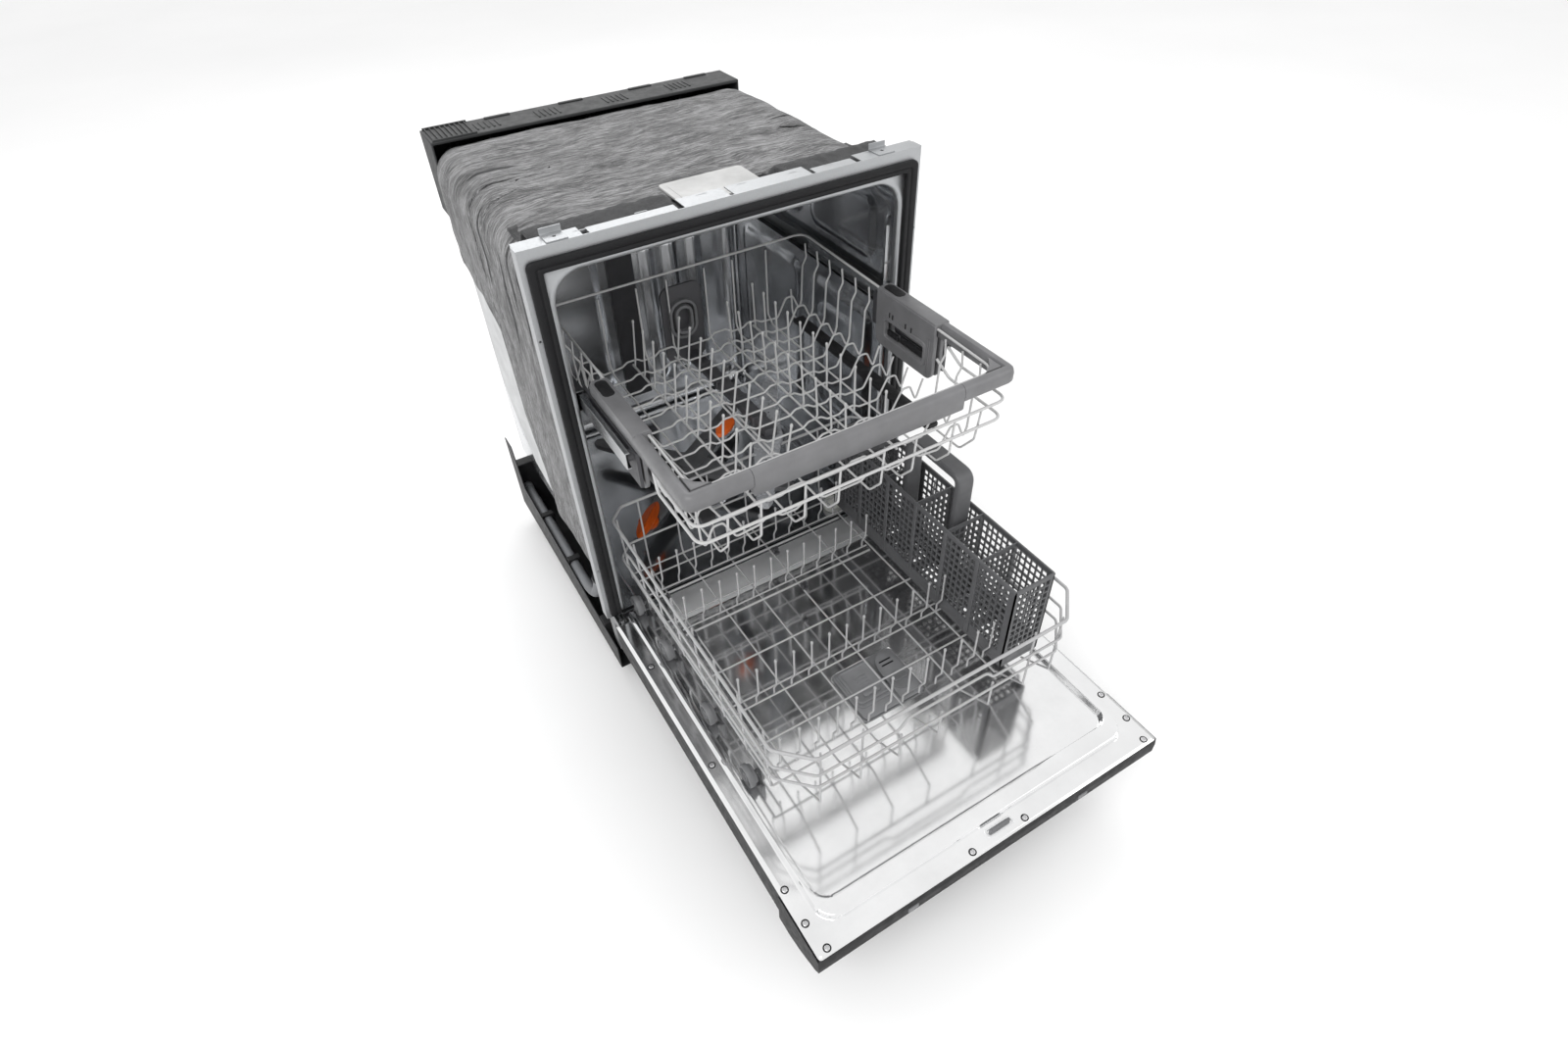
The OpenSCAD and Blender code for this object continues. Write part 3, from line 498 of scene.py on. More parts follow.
LABEL = plastic("label_stock", (0.50, 0.50, 0.495), 0.45, grain=0.8)
GREY = plastic("mid_grey", (0.15, 0.152, 0.157), 0.4)
TRIM = plastic("trim_grey", (0.155, 0.155, 0.16), 0.36, grain=0.3, depth=0.02)
DARK_GREY = plastic("dark_grey", (0.055, 0.055, 0.06), 0.42)
BASKET = plastic("basket_grey", (0.085, 0.086, 0.09), 0.45)
DISPENSER = plastic("dispenser_grey", (0.19, 0.192, 0.198), 0.38)
NATURAL = plastic("natural_white", (0.68, 0.68, 0.64), 0.4)
ORANGE = plastic("orange", (0.62, 0.10, 0.008), 0.36)
HOSE = plastic("hose_grey", (0.17, 0.175, 0.185), 0.45, grain=1.0)
BOARD = plastic("solder_mask", (0.02, 0.11, 0.045), 0.3)
CLEAR = plastic("clear_grey", (0.40, 0.41, 0.43), 0.24, Transmission_Weight=0.35, IOR=1.5)
NYLON_UP = coated_wire("nylon_light", (0.52, 0.52, 0.52))
NYLON_LOW = coated_wire("nylon_grey", (0.40, 0.40, 0.405))
FELT = felt("felt_grey", (0.012, 0.012, 0.013), (0.33, 0.33, 0.335), 16)
# Charcoal felt of the damping pad, also used as the painted shade in the blanket's dart slits.
CHARCOAL_AND_SLIT_SHADE = felt("felt_charcoal_and_slit_shade", (0.003, 0.003, 0.004), (0.036, 0.037, 0.040), 3)


# ---- stage ----

CAMERA_AT = Vector((-0.514, -0.945, 1.288))
CAMERA_RIGHT = Vector((0.85436, -0.51900, -0.02665))
CAMERA_UP = Vector((0.36974, 0.57101, 0.73296))
LENS, SENSOR = 19.75, 36.0
FLOOR_REACH = 16.0
SKY = 0.95


def make_camera():
    """The camera at the angle from which the object is shown."""
    camera = bpy.data.objects.new("camera", bpy.data.cameras.new("camera"))
    camera.data.lens = LENS
    camera.data.sensor_width = SENSOR
    right, up = CAMERA_RIGHT.normalized(), CAMERA_UP.normalized()
    back = right.cross(up)
    turn = Matrix((right, up, back)).transposed().to_4x4()
    camera.matrix_world = Matrix.Translation(CAMERA_AT) @ turn
    bpy.context.scene.collection.objects.link(camera)
    bpy.context.scene.camera = camera


def make_light(name, place, aim, size, power):
    """A rectangular studio light."""
    light = bpy.data.lights.new(name, "AREA")
    light.shape = "RECTANGLE"
    light.size, light.size_y = size
    light.energy = power
    obj = bpy.data.objects.new(name, light)
    obj.location = place
    obj.rotation_euler = (Vector(aim) - Vector(place)).to_track_quat("-Z", "Y").to_euler()
    bpy.context.scene.collection.objects.link(obj)


def make_stage():
    """The pale floor, the even surround and three soft lights."""
    mesh = bpy.data.meshes.new("floor")
    corners = [(x * FLOOR_REACH, y * FLOOR_REACH, 0) for x, y in ((-1, -1), (1, -1), (1, 1), (-1, 1))]
    mesh.from_pydata(corners, [], [(0, 1, 2, 3)])
    floor = bpy.data.objects.new("floor", mesh)
    bpy.context.scene.collection.objects.link(floor)
    s = Shader("studio_floor")
    s.colour(s.ramp(s.noise(900), [(0.3, (0.93, 0.93, 0.93)), (0.7, (0.96, 0.96, 0.96))]))
    s.roughness(s.span(s.noise(60), 0.55, 0.65))
    mesh.materials.append(s.material)
    world = bpy.data.worlds.new("studio")
    world.use_nodes = True
    sky = world.node_tree.nodes["Background"]
    sky.inputs["Color"].default_value = (1, 1, 1, 1)
    sky.inputs["Strength"].default_value = SKY
    bpy.context.scene.world = world
    bpy.context.scene.view_settings.view_transform = "Standard"
    make_light("key", (-2.2, -1.6, 3.4), (0, 0.1, 0.5), (2.4, 1.6), 60)
    make_light("fill", (2.6, -2.2, 2.2), (0, 0, 0.5), (2.0, 2.0), 18)
    make_light("rim", (0.6, 3.0, 2.8), (0, 0.3, 0.8), (2.4, 1.2), 30)


# ---- cabinet ----

SEAL_HALF, SEAL_LOW, SEAL_TOP = 292.5, 192.0, 825.0
TUB_HALF, TUB_LOW, TUB_TOP, TUB_BACK = 266.0, 158.0, 801.0, 565.0
TRACK_X, TRACK_Z = 236.0, 181.0
TUB_CORNER = 42.5
LABEL_X = 10


def make_seal():
    """The black frame round the opening, with the groove that its rubber bulb sits in."""
    m = Mesh()
    profile = [(0, 6), (0, 1.2), (0.4, 0.4), (1.2, 0), (9, 0.1), (9.8, 0.5), (10.6, 1.5), (11.6, 1.5),
               (12.4, 0.5), (13.2, 0.1), (17.6, 0), (18.6, 0.5), (19, 1.4), (19, 6)]
    loops = []
    for cut, y in profile:
        corners = (1.5, max(2.5, 9 - cut * 0.35))
        low, high = SEAL_LOW + min(cut, 0.8), SEAL_TOP - cut * 16 / 19
        loops.append(ring(round_rect(-SEAL_HALF + cut, SEAL_HALF - cut, low, high, corners, 6), y, "y"))
    m.loft(loops, cyclic=True)
    m.build("seal_frame", "cabinet", "seal_rubber", SEAL_AND_SLOT_SHADE, ["tub_gasket"])


def panel_relief(u, v, u0, u1, v0, v1, r, height, slope=9.0):
    """A pressed panel: a plateau with rounded corners and sloping sides."""
    return height * smooth(inside(u, v, u0, u1, v0, v1, r) / slope)


def rear_relief(x, z):
    """Pressings of the rear wall: stiffening panels, slanting ribs and upright flutes."""
    h = 0
    for low, high, r in ((236, 560, 30), (606, 676, 24), (700, 772, 24)):
        h += panel_relief(x, z, -236, -34, low, high, r, 5)
    for k in range(3):
        if 46 < x < 200 and 560 < z < 775:
            along = (x - 70) * 0.8 + (z - 640) * 0.6 - 34 * k
            across = -(x - 70) * 0.6 + (z - 640) * 0.8
            h += panel_relief(across, along, -70, 74, -8, 8, 8, 4, 6)
        h += panel_relief(x, z, 62 + 52 * k, 88 + 52 * k, 230, 540, 12, 6, 7)
    return h


def side_relief(y, z):
    """Pressings of a side wall, above and below the rack rails."""
    h = sum(panel_relief(y, z, near, far, low, high, 26, 5)
            for near, far in ((60, 250), (280, 500)) for low, high in ((652, 758), (262, 560)))
    h -= panel_relief(y, z, 96, 214, 300, 520, 20, 3)
    return h + panel_relief(y, z, 22, 34, 230, 740, 6, 4, 5)


def tub_section():
    """The tub's cross-section as (x, z) points."""
    right = [(TRACK_X, TUB_LOW, 7), (TRACK_X, TRACK_Z, 4), (TUB_HALF, TRACK_Z, 5),
             (TUB_HALF, TUB_TOP, TUB_CORNER)]
    corners = [right[3]] + [(-x, z, r) for x, z, r in reversed(right)] + right[:3]
    points = []
    for i, (x, z, r) in enumerate(corners):
        p = Vector((x, z))
        before = Vector(corners[i - 1][:2])
        after = Vector(corners[(i + 1) % len(corners)][:2])
        u, v = (before - p).normalized(), (after - p).normalized()
        centre = p + (u + v) * r
        for t in (k / 6 for k in range(7)):
            points.append(centre + (-v * (1 - t) - u * t).normalized() * r)
    result = []
    for i, p in enumerate(points):
        q = points[(i + 1) % len(points)]
        n = max(1, round((q - p).length / 7))
        result += [p + (q - p) * (k / n) for k in range(n)]
    return result


def make_tub():
    """The stainless tub: a pressed shell whose rear wall blends into its sides, open at the front."""
    blend = 26.0
    m = Mesh()
    section = tub_section()
    loops = []
    for y in lines((8, 40, 4), (40, TUB_BACK - blend, 7)):
        loop = []
        for x, z in section:
            wall = smooth((abs(x) - 262) / 3.5) * smooth((z - 200) / 20)
            loop.append((x - math.copysign(side_relief(y, z) * wall, x), y, z))
        loops.append(loop)
    m.loft(loops, cap=False)

    def rear(x, z):
        d = inside(x, z, -TUB_HALF, TUB_HALF, TUB_LOW, TUB_TOP, TUB_CORNER)
        if d < 0:
            cx = math.copysign(TUB_HALF - TUB_CORNER, x)
            cz = TUB_TOP - TUB_CORNER if z > 500 else TUB_LOW + TUB_CORNER
            away = Vector((x - cx, z - cz)).normalized() * TUB_CORNER
            x, z = cx + away.x, cz + away.y
            d = 0.0
        t = 1 - min(d, blend) / blend
        y = TUB_BACK - blend * (1 - math.sqrt(max(0.0, 1 - t * t)))
        return (x, y - rear_relief(x, z) * smooth((d - 10) / 20), z)

    xs = lines((-266, -224, 3.5), (-224, 224, 7), (224, 266, 3.5))
    zs = lines((158, 200, 3.5), (200, 758, 7), (758, 801, 3.5))
    m.grid(xs, zs, rear)
    thickened(m.build("tub_shell", "cabinet", "stainless", STAINLESS, ["tub"], sharp=60), "sheet", 1.2, 1.0)
    face = Mesh()
    loops = []
    for cut, y, r in ((-22, 8.6, 4), (-10, 8.6, 52), (-7.5, 6.8, 50), (-4, 6.2, 47), (-1.2, 7.0, 43.5),
                      (0, 9, TUB_CORNER), (0, 16, TUB_CORNER)):
        edge = round_rect(-TUB_HALF + cut, TUB_HALF - cut, 182, TUB_TOP - cut, (1, r), 9)
        loops.append(ring(edge, y, "y"))
    face.loft(loops, cap=False)
    thickened(face.build("tub_lip", "cabinet", "stainless", GALVANISED, sharp=60), "sheet", 0.8)


def make_blanket():
    """The felt sheet over the tub: wrapped over both top edges, with the painted shade of darts cut at the left
    edge.
    """
    half, top, drop_r = 287.0, 817.0, 46.0
    y0, y1 = 44.0, 500.0
    flat, arc = half - drop_r, drop_r * math.pi / 2
    lowest = 250.0
    side_low = [(240, lowest), (248, 362), (300, 440), (290, 577), (365, 625), (500, 640)]

    def hem(y):
        """The height of the sheet's lower edge at a depth."""
        if y <= 240:
            return lowest
        for (a, za), (b, zb) in zip(side_low, side_low[1:]):
            if min(a, b) <= y <= max(a, b):
                return za + (zb - za) * (y - a) / (b - a)
        return side_low[-1][1]

    def front(x):
        """The sheet's front edge on top, which steps back round the label and the right hand tabs."""
        return 78 + 30 * smooth((x + 90) / 60) - 14 * smooth((x - 110) / 40)

    def point(s, y, out=0.0):
        """A point of the wrap: s runs from the left hem (-1) over the top (0) to the right hem (1)."""
        run = abs(s) * (flat + arc + top - drop_r - hem(y))
        sign = -1 if s < 0 else 1
        if run < flat:
            x, z, nx, nz = run, top, 0, 1
        elif run < flat + arc:
            a = (run - flat) / drop_r
            nx, nz = math.sin(a), math.cos(a)
            x, z = flat + drop_r * nx, top - drop_r + drop_r * nz
        else:
            x, z, nx, nz = half, top - drop_r - (run - flat - arc), 1, 0
        place = Vector((sign * x, y, z))
        lump = noise.noise(place / 70) * 2.6 + noise.noise(place / 23) * 0.9 + out
        return (sign * (x + nx * lump), y, z + nz * lump - 1.5 * nz)

    def laid(s, t):
        """A point of the sheet: t runs from its front edge (0) to its back edge (1), which is tucked in."""
        x = s * (flat + arc + top - drop_r - lowest)
        start = y0 + (front(x) - y0) * smooth((half - 12 - abs(x)) / 20)
        return point(s, start + (y1 - start) * t, -6 * smooth((t - 0.93) / 0.07))

    m = Mesh()
    count = 150
    m.grid([-1 + 2 * i / count for i in range(count + 1)], lines((0, 1, 1 / 64)), laid)
    sheet = m.build("felt_blanket", "cabinet", "felt", FELT, ["insulation_blanket"], sharp=80)
    thickened(sheet, "felt", 5)
    make_dart_shadows(point)


def make_dart_shadows(point):
    """Painted shade of lens-shaped slits where the felt is folded over the left top edge, drawn as dark felt
    sheets on the felt; point is a place on the felt.
    """
    m = Mesh()
    count = 12
    for y, low, high, wide in ((96, -0.52, -0.36, 3.4), (128, -0.47, -0.30, 2.6), (176, -0.56, -0.37, 4.0),
                               (262, -0.57, -0.38, 4.2), (352, -0.58, -0.40, 4.4)):
        verts = []
        for t in (k / count for k in range(count + 1)):
            half = wide * math.sin(math.pi * t) + 0.15
            verts += [point(low + (high - low) * t, y + side * half - 8 * t, 0.7) for side in SIDES]
        m.add(verts, [[2 * k, 2 * k + 1, 2 * k + 3, 2 * k + 2] for k in range(count)])
    # Painted shade: the slits are dark sheets lying on the felt, not openings in it.
    m.build("felt_dart_shadows", "cabinet", "felt", CHARCOAL_AND_SLIT_SHADE, sharp=80)


def make_top():
    """What lies in front of and behind the felt: damping pad, flange, brackets, label and rear cover."""
    pad = Mesh()

    def fuzz(x, y):
        """The pad's top: a raised lip behind the flange, low under the felt and round the label."""
        swell = 1.5 * noise.noise(Vector((x / 9, y / 9, 2))) + 1.2 * noise.noise(Vector((x / 31, y / 24, 5)))
        rise = smooth((100 - y) / 20) * smooth((abs(x - LABEL_X) - 74) / 12)
        return (x, y, 811 + 23.5 * rise + swell)

    pad.grid(spread(-270, 268, 3), [10, 14, 18] + spread(24, 150, 9), fuzz)
    thickened(pad.build("damping_pad", "cabinet", "felt", CHARCOAL_AND_SLIT_SHADE, sharp=80), "felt", 4)
    softened("tub_front_flange", "cabinet", "galvanised", GALVANISED, 0.5)
    softened("top_brackets", "cabinet", "galvanised", GALVANISED, 0.4)
    hooks = Mesh()
    tabs = ((-214, 22.5), (-128, 29.5), (-40, 33.5), (20, 33.5), (96, 27.5), (150, 22.5), (222, 29.5))
    for x, back in tabs:
        hooks.block((x - 9, back - 2, 833), (x + 9, back, 841), 0.5, 1.5, axis="y")
        hooks.block((x - 3.4, back - 0.1, 834), (x + 3.4, back + 1.5, 839), 0.4, 1.2, axis="y")
    hooks.build("flange_tabs", "cabinet", "galvanised", GALVANISED)
    (x0, y0, z0), (x1, y1, z1) = limits("label_plate")
    label = Mesh()
    label.block((x0, y0, z1 - 1), (x1, y1, z1 + 2.4), 0.6, 7)
    label.block((x0 + 9, y0 + 9, z1 + 2.3), (x1 - 9, y1 - 9, z1 + 3.0), 0.3, 4)
    label.build("label_stiff_card", "cabinet", "label_stock", LABEL, ["label_plate"])
    softened("side_sheets", "cabinet", "white_sheet", FILM, 0.3)
    softened("rear_top_cover", "cabinet", "cover_plastic", COVER, 1.6)
    (x0, y0, z0), (x1, y1, z1) = limits("rear_top_cover")
    ribs = Mesh()
    for group in (-196, -92, 30, 150):
        for k in range(5):
            x = group + 9 * k
            ribs.block((x, y0 + 16, z1 - 0.5), (x + 3.2, y0 + 50, z1 + 1.4), 0.6, 1.2)
    for k in range(9):
        x = x0 + 6 + 8 * k
        ribs.block((x, y0 + 4, z1 - 0.5), (x + 2.4, y1 - 4, z1 + 2.6), 0.6, 1)
    for y in (y0 + 1, y1 - 4):
        ribs.block((x0 + 4, y, z1 - 0.5), (x0 + 76, y + 3, z1 + 3), 0.6, 1)
    for x in (-150, -20, 110, 220):
        ribs.block((x - 22, y1 - 12, z1 - 0.5), (x + 22, y1 - 5, z1 + 2.2), 0.8, 2)
    ribs.build("cover_ribs", "cabinet", "cover_plastic", COVER)


def make_base():
    """Everything under and beside the tub: rails, hinge ears, panels, feet, pumps and hoses."""
    softened("base_frame", "cabinet", "base_black", BLACK, 0.9)
    softened("toe_kick", "cabinet", "base_black", BLACK, 0.6)
    softened("hinge_brackets", "cabinet", "bracket_steel", DARK_STEEL, 0.5)
    for side in ("left", "right"):
        (x0, y0, _), (x1, y1, _) = limits("foot_" + side)
        x, y = (x0 + x1) / 2, (y0 + y1) / 2
        foot = Mesh()
        foot.lathe([(12, 0), (17, 0), (18.6, 1.2), (18.8, 6), (17.8, 7.6), (14, 8)], (x, y, 0), steps=6)
        thread = [(5.9 if k % 2 else 5.0, 8 + 1.0 * k) for k in range(31)]
        foot.lathe([(4, 6)] + thread, (x, y, 0), steps=20)
        foot.build("levelling_foot_" + side, "foot_" + side, "foot_plastic", GREY, ["foot_" + side], sharp=30)
    for node, slot, material, width in (
        ("sump", "sump_plastic", DARK_GREY, 1.5), ("filter_plate", "filter_steel", STAINLESS, 0.3),
        ("circulation_pump", "pump_plastic", BLACK, 2.5), ("drain_pump", "natural_plastic", NATURAL, 1.5),
        ("inlet_valve", "natural_plastic", NATURAL, 1.2), ("junction_box", "galvanised", GALVANISED, 0.5),
        ("supply_duct", "sump_plastic", DARK_GREY, 1.2), ("ceiling_nozzle", "sump_plastic", DARK_GREY, 2.0),
        ("rack_rails", "sump_plastic", DARK_STEEL, 0.4), ("hose_clips", "base_black", BLACK, 1.0),
    ):
        softened(node, "cabinet", slot, material, width)
    softened("rail_slides", "rail_slides", "slide_steel", SLIDE_STEEL, 0.4)
    softened("filter_cup", "filter_cup", "grey_plastic", GREY, 0.8)
    softened("overfill_float", "float", "natural_plastic", NATURAL, 1.2)
    make_hose()


def make_hose():
    """The corrugated drain hose: a straight run, a bend up and a short rise, with a cuff at each end."""
    x, z, bend_r, turn = -281.0, 98.0, 130.0, math.radians(62)
    pitch = 3.2
    path = [(x, 532 - pitch * k, z) for k in range(99)]
    for a in (turn * k / 42 for k in range(43)):
        path.append((x, 215 - bend_r * math.sin(a), z + bend_r * (1 - math.cos(a))))
    end = path[-1]
    step = (0, -math.cos(turn), math.sin(turn))
    path += [tuple(e + s * pitch * k for e, s in zip(end, step)) for k in range(1, 18)]
    hose = Mesh()
    hose.tube(path, lambda k: 10.0 if 4 < k < len(path) - 5 and k % 2 else 8.9, sides=18)
    for start, away in ((path[0], (0, -1, 0)), (path[-1], tuple(-s for s in step))):
        hose.tube([tuple(p + a * 14 * t for p, a in zip(start, away)) for t in (0, 0.08, 0.92, 1)],
                  lambda k: (10.2, 10.8, 10.8, 10.2)[k], sides=18)
    hose.build("corrugated_hose", "cabinet", "hose_grey", HOSE, ["drain_hose"], sharp=50)


def blade(mesh, x, y, turn, half, wide, z0, z1):
    """A flat blade, rounded at its ends, about a point and turned from the X axis."""
    c, d = math.cos(math.radians(turn)), math.sin(math.radians(turn))
    outline = []
    for a in turns(32):
        u = math.copysign(abs(math.cos(a)) ** 0.8, math.cos(a)) * half
        v = math.copysign(abs(math.sin(a)) ** 1.3, math.sin(a)) * wide
        outline.append((x + u * c - v * d, y + u * d + v * c))
    mesh.prism(outline, z0, z1, 1.2)


def make_arms():
    """The two spray arms with their orange parts."""
    softened("lower_spray_arm", "lower_arm", "grey_plastic", GREY, 2.2)
    x, y = 184 * math.cos(math.radians(218)), 285 + 184 * math.sin(math.radians(218))
    tip = Mesh()
    tip.lathe([(3, 198.6), (18.5, 198.6), (19, 199.4), (19, 204.8), (3, 205.4)], (x, y, 0), steps=40)
    blade(tip, x, y, 225, 50, 14, 205.3, 211)
    blade(tip, x, y, 225, 42, 5, 210.5, 213.5)
    tip.build("orange_arm", "satellite", "orange_plastic", ORANGE, ["arm_satellite"])
    softened("upper_spray_arm", "upper_arm", "arm_clear", CLEAR, 2.0)
    key = Mesh()
    blade(key, -46, 11, 36, 26, 11, 478.6, 486)
    key.build("upper_arm_key", "upper_arm", "orange_plastic", ORANGE)


# ---- upper rack ----

UP_HALF, UP_FRONT, UP_BACK = 228.0, -272.0, 213.0
UP_FLOOR, UP_RIM = 515.0, 652.0
UP_CROSS = [203 - 37.5 * i for i in range(13)]
UP_BALL = 2.3


def make_upper_wires():
    """The upper basket: rings, cross wires with their arches over the shelf bars, and long wires."""
    m = Mesh()
    rim = [(-UP_HALF, UP_BACK, UP_RIM), (UP_HALF, UP_BACK, UP_RIM), (UP_HALF, UP_FRONT, UP_RIM - 12),
           (-UP_HALF, UP_FRONT, UP_RIM - 12)]
    m.wire(rim, 22, 7, THICK_WIRE, cyclic=True)
    half = [(0, 0), (30, 0), (40, 8), (62, 8), (74, 0), (96, 0), (104, 6), (122, 6), (132, 0), (166, 0),
            (184, 33), (198, 33), (211, 4), (216, 20)]
    for i, y in enumerate(UP_CROSS):
        lift = 3.2 if i in (0, 12) else 0.0
        side = [(222, 38)] if -150 < y < -4 else [(219, 84), (227, 98), (UP_HALF - 3.4, 123)]
        right = [(x, y, UP_FLOOR + h + (lift if x < 160 else 0)) for x, h in half + side]
        left = [(-x, y, z) for x, _, z in reversed(right[1:])]
        m.wire(left + right, 7, 4)
    low = UP_FLOOR - 3.35
    for x in (-150, -86, -34, 34, 86, 150):
        back = [(x, UP_BACK - 5, UP_RIM - 8), (x, UP_BACK - 5, low + 14), (x, UP_BACK - 20, low)]
        m.wire(back + [(x, -262, low), (x, -286, 540), (x, -290, 598)], 12, 5)
    for x in (-196, 196):
        back = [(x, UP_BACK - 8, 560), (x, UP_BACK - 12, 512)]
        m.wire(back + [(x, -258, 512), (x, -284, 545), (x, -290, 598)], 14, 5)
    for z, out, back in ((600, 240, -168), (571, 237, -150)):
        left = [(-out + 6, back, z + 22), (-out, back - 26, z), (-out, -291, z)]
        m.wire(left + [(-x, y, zz) for x, y, zz in reversed(left)], 17, 7, 2.2)
    for side in SIDES:
        x, lean = side * 50, side * -7
        m.tube([(x, UP_CROSS[1] + 6, UP_FLOOR + 11.4), (x, UP_CROSS[10] - 18, UP_FLOOR + 11.4)], WIRE)
        for y in UP_CROSS[1:11]:
            tine = [(x, y - 4, UP_FLOOR + 11), (x, y - 9, UP_FLOOR + 22), (x + lean, y - 15, UP_FLOOR + 92)]
            m.wire(tine, 8, 3, tip=UP_BALL)
    m.build("upper_basket", "upper_rack", "nylon_light", NYLON_UP, ["upper_rack_wires"], sharp=60)
    z = UP_FLOOR + 4.2
    for name, x, lean in (("left", -114, 6), ("right", 114, -6)):
        row = Mesh()
        row.tube([(x, UP_CROSS[0] - 4, z), (x, UP_CROSS[11] - 8, z)], THICK_WIRE)
        for y in UP_CROSS[:11]:
            tine = [(x, y - 12, z), (x + lean * 0.3, y - 15, z + 16), (x + lean, y - 20, z + 87)]
            row.wire(tine, 8, 3, tip=UP_BALL)
        body = "upper_tines_" + name
        row.build("tines_" + name, body, "nylon_light", NYLON_UP, [body], sharp=60)


def make_trim():
    """The grey grip round the upper rack's rim, with its deeper middle part and its dark end pads."""
    seam, outer = 159.0, 250.0
    front, back, r = -294.0, -7.0, 14.0

    def section(drop):
        """The grip's cross-section as (depth, height) points above its lower edge."""
        return [(3, drop), (0.2, drop + 4), (0, 640), (1.6, 646), (5, 649.2), (9, 650), (13, 649), (16, 645),
                (17, 638), (16.4, 626), (12, drop + 1)]

    path = [(-outer, y, -1, 0) for y in (back, front + r + 90, front + r)]
    for a in (math.radians(15 * k) for k in range(1, 6)):
        path.append((-outer + r - r * math.cos(a), front + r - r * math.sin(a), -math.cos(a), -math.sin(a)))
    groove = (-seam - 0.6, -seam, -seam + 0.6, -seam + 1.2, -seam + 6)
    path += [(x, front, 0, -1) for x in (-outer + r, *groove, 0)]
    path += [(-x, y, -nx, ny) for x, y, nx, ny in reversed(path[:-1])]
    m = Mesh()
    loops = []
    for x, y, nx, ny in path:
        gap = 0.9 if abs(abs(x) - seam) < 0.3 else 0.0
        drop = 613.0 if abs(x) < seam - 0.5 and y == front else 626.0
        loop = []
        for u, z in section(drop):
            depth = u + (gap if u < 9 else -gap)
            loop.append((x - nx * depth, y - ny * depth, z - (gap if z > 640 else 0)))
        loops.append(loop)
    m.loft(loops)
    for sx in SIDES:
        m.prism([(sx * 233.2, -277.2), (sx * 233.2, -250), (sx * 222, -266), (sx * 206, -277.2)], 628, 648)
    m.build("rack_trim", "upper_rack", "handle_grey", TRIM, ["upper_rack_handle"], sharp=38)
    pads = Mesh()
    for sx in SIDES:
        pads.side_block(sx, 229, 246, (-54, 649), (-13, 650.8), 0.6, 7)
    pads.build("trim_pads", "upper_rack", "bar_black", BLACK)


def make_adjusters():
    """The height adjuster plates: a skirt under the trim with a framed window and a release lever."""
    plate, levers = Mesh(), Mesh()
    outline = round_rect(-150, -8, 556, 648, (14, 2))
    hole = round_rect(-128, -34, 578, 606, 5)
    for sx in SIDES:
        for near, far in ((236.2, 241.8), (223, 229)):
            plate.loft([ring(outline, sx * near, "x", 1), ring(outline, sx * (near + 1), "x"),
                        ring(outline, sx * far, "x"), ring(hole, sx * far, "x"), ring(hole, sx * near, "x")],
                       cyclic=True)
        plate.side_block(sx, 224, 249.6, (-150, 629), (-8, 650), 1.6, 3)
        collar = ((-7, 223.5), (-6, 220.8), (-1, 220.8), (0, 223.5))
        plate.stack(hole, [(cut, sx * x) for cut, x in collar], "x", cyclic=True)
        for y in (-142, -138):
            plate.side_block(sx, 221.6, 223.5, (y, 562), (y + 1.6, 622), 0.4, 0.8)
        levers.side_block(sx, 223.8, 228.2, (-126, 583), (-70, 594), 0.8, 2)
        levers.side_block(sx, 223.8, 228.2, (-64, 581), (-37, 590), 0.8, 2)
        for y in (-98, -84, -52, -44):
            levers.side_block(sx, 221.8, 223.6, (y, 613), (y + 2.4, 621), 0.4, 0.8)
    plate.build("adjuster_plates", "upper_rack", "handle_grey", TRIM, ["rack_adjusters"], sharp=35)
    levers.build("adjuster_levers", "upper_rack", "bar_black", BLACK)
    softened("rack_carriers", "rack_carriers", "grey_plastic", DARK_GREY, 0.8)


def make_feed():
    """The upper arm's feed tube with its dock at the back, and the cup shelves' bars."""
    feed = Mesh()
    feed.block((-11, -56, 487), (11, 214, 501), 2.5, 5)
    for y in (-20, 40, 100, 160):
        feed.block((-13, y, 486.5), (13, y + 9, 502.5), 1.2, 3)
    feed.lathe([(6.5, 466), (9, 467), (9, 480), (16, 482), (16, 487), (6.5, 487.5)], (0, -40, 0))
    feed.prism(round_rect(-46, 28, 487, 626, 16), 213, 219, 1.5, axis="y")
    feed.lathe([(11.2, 219), (15, 219), (15, 229), (11.2, 229)], (0, 0, 597), axis="y", closed=True)
    feed.build("feed_tube_and_dock", "upper_rack", "grey_plastic", DARK_GREY, ["upper_feed_tube"])
    oval = Mesh()
    for cut, near in ((0, 205), (9, 202)):
        edge = round_rect(-36 + cut, 14 - cut, 532 + cut, 602 - cut, 24 - cut)
        hole = inset(edge, 5)
        oval.loft([ring(edge, 213.5, "y"), ring(edge, near + 1, "y"), ring(edge, near, "y", 1),
                   ring(hole, near, "y", -1), ring(hole, near + 1, "y"), ring(hole, 213.5, "y")], cyclic=True)
    oval.build("dock_oval", "upper_rack", "grey_plastic", GREY)
    bars = Mesh()
    for sx in SIDES:
        bars.side_block(sx, 174, 196, (UP_CROSS[11], 521), (UP_CROSS[1], 529), 2.6, 4)
        for y in UP_CROSS[2:11]:
            bars.side_block(sx, 178, 192, (y + 10, 528.4), (y + 26, 530), 0.6, 3)
    bars.build("cup_shelf_bars", "upper_rack", "bar_black", BLACK, ["shelf_bars"])


# ---- lower rack ----

LOW_HALF, LOW_FRONT, LOW_REAR = 248.0, -502.0, 56.0
LOW_TOP, LOW_MID, LOW_LOW = 366.0, 326.0, 297.0
LOW_FLOOR, FLOOR_FRONT = 222.0, -440.0
LOW_XS = [-198, -134, -70, -2, 87.5, 152]
TINE_X = [-214 + 30.6 * i for i in range(13)]
FOLD_X = [-207 + 31 * i for i in range(12)]
ROWS = [-33, -131, -310, -423]
TINE_TOP = 315.0
FLOOR_HALF = 232


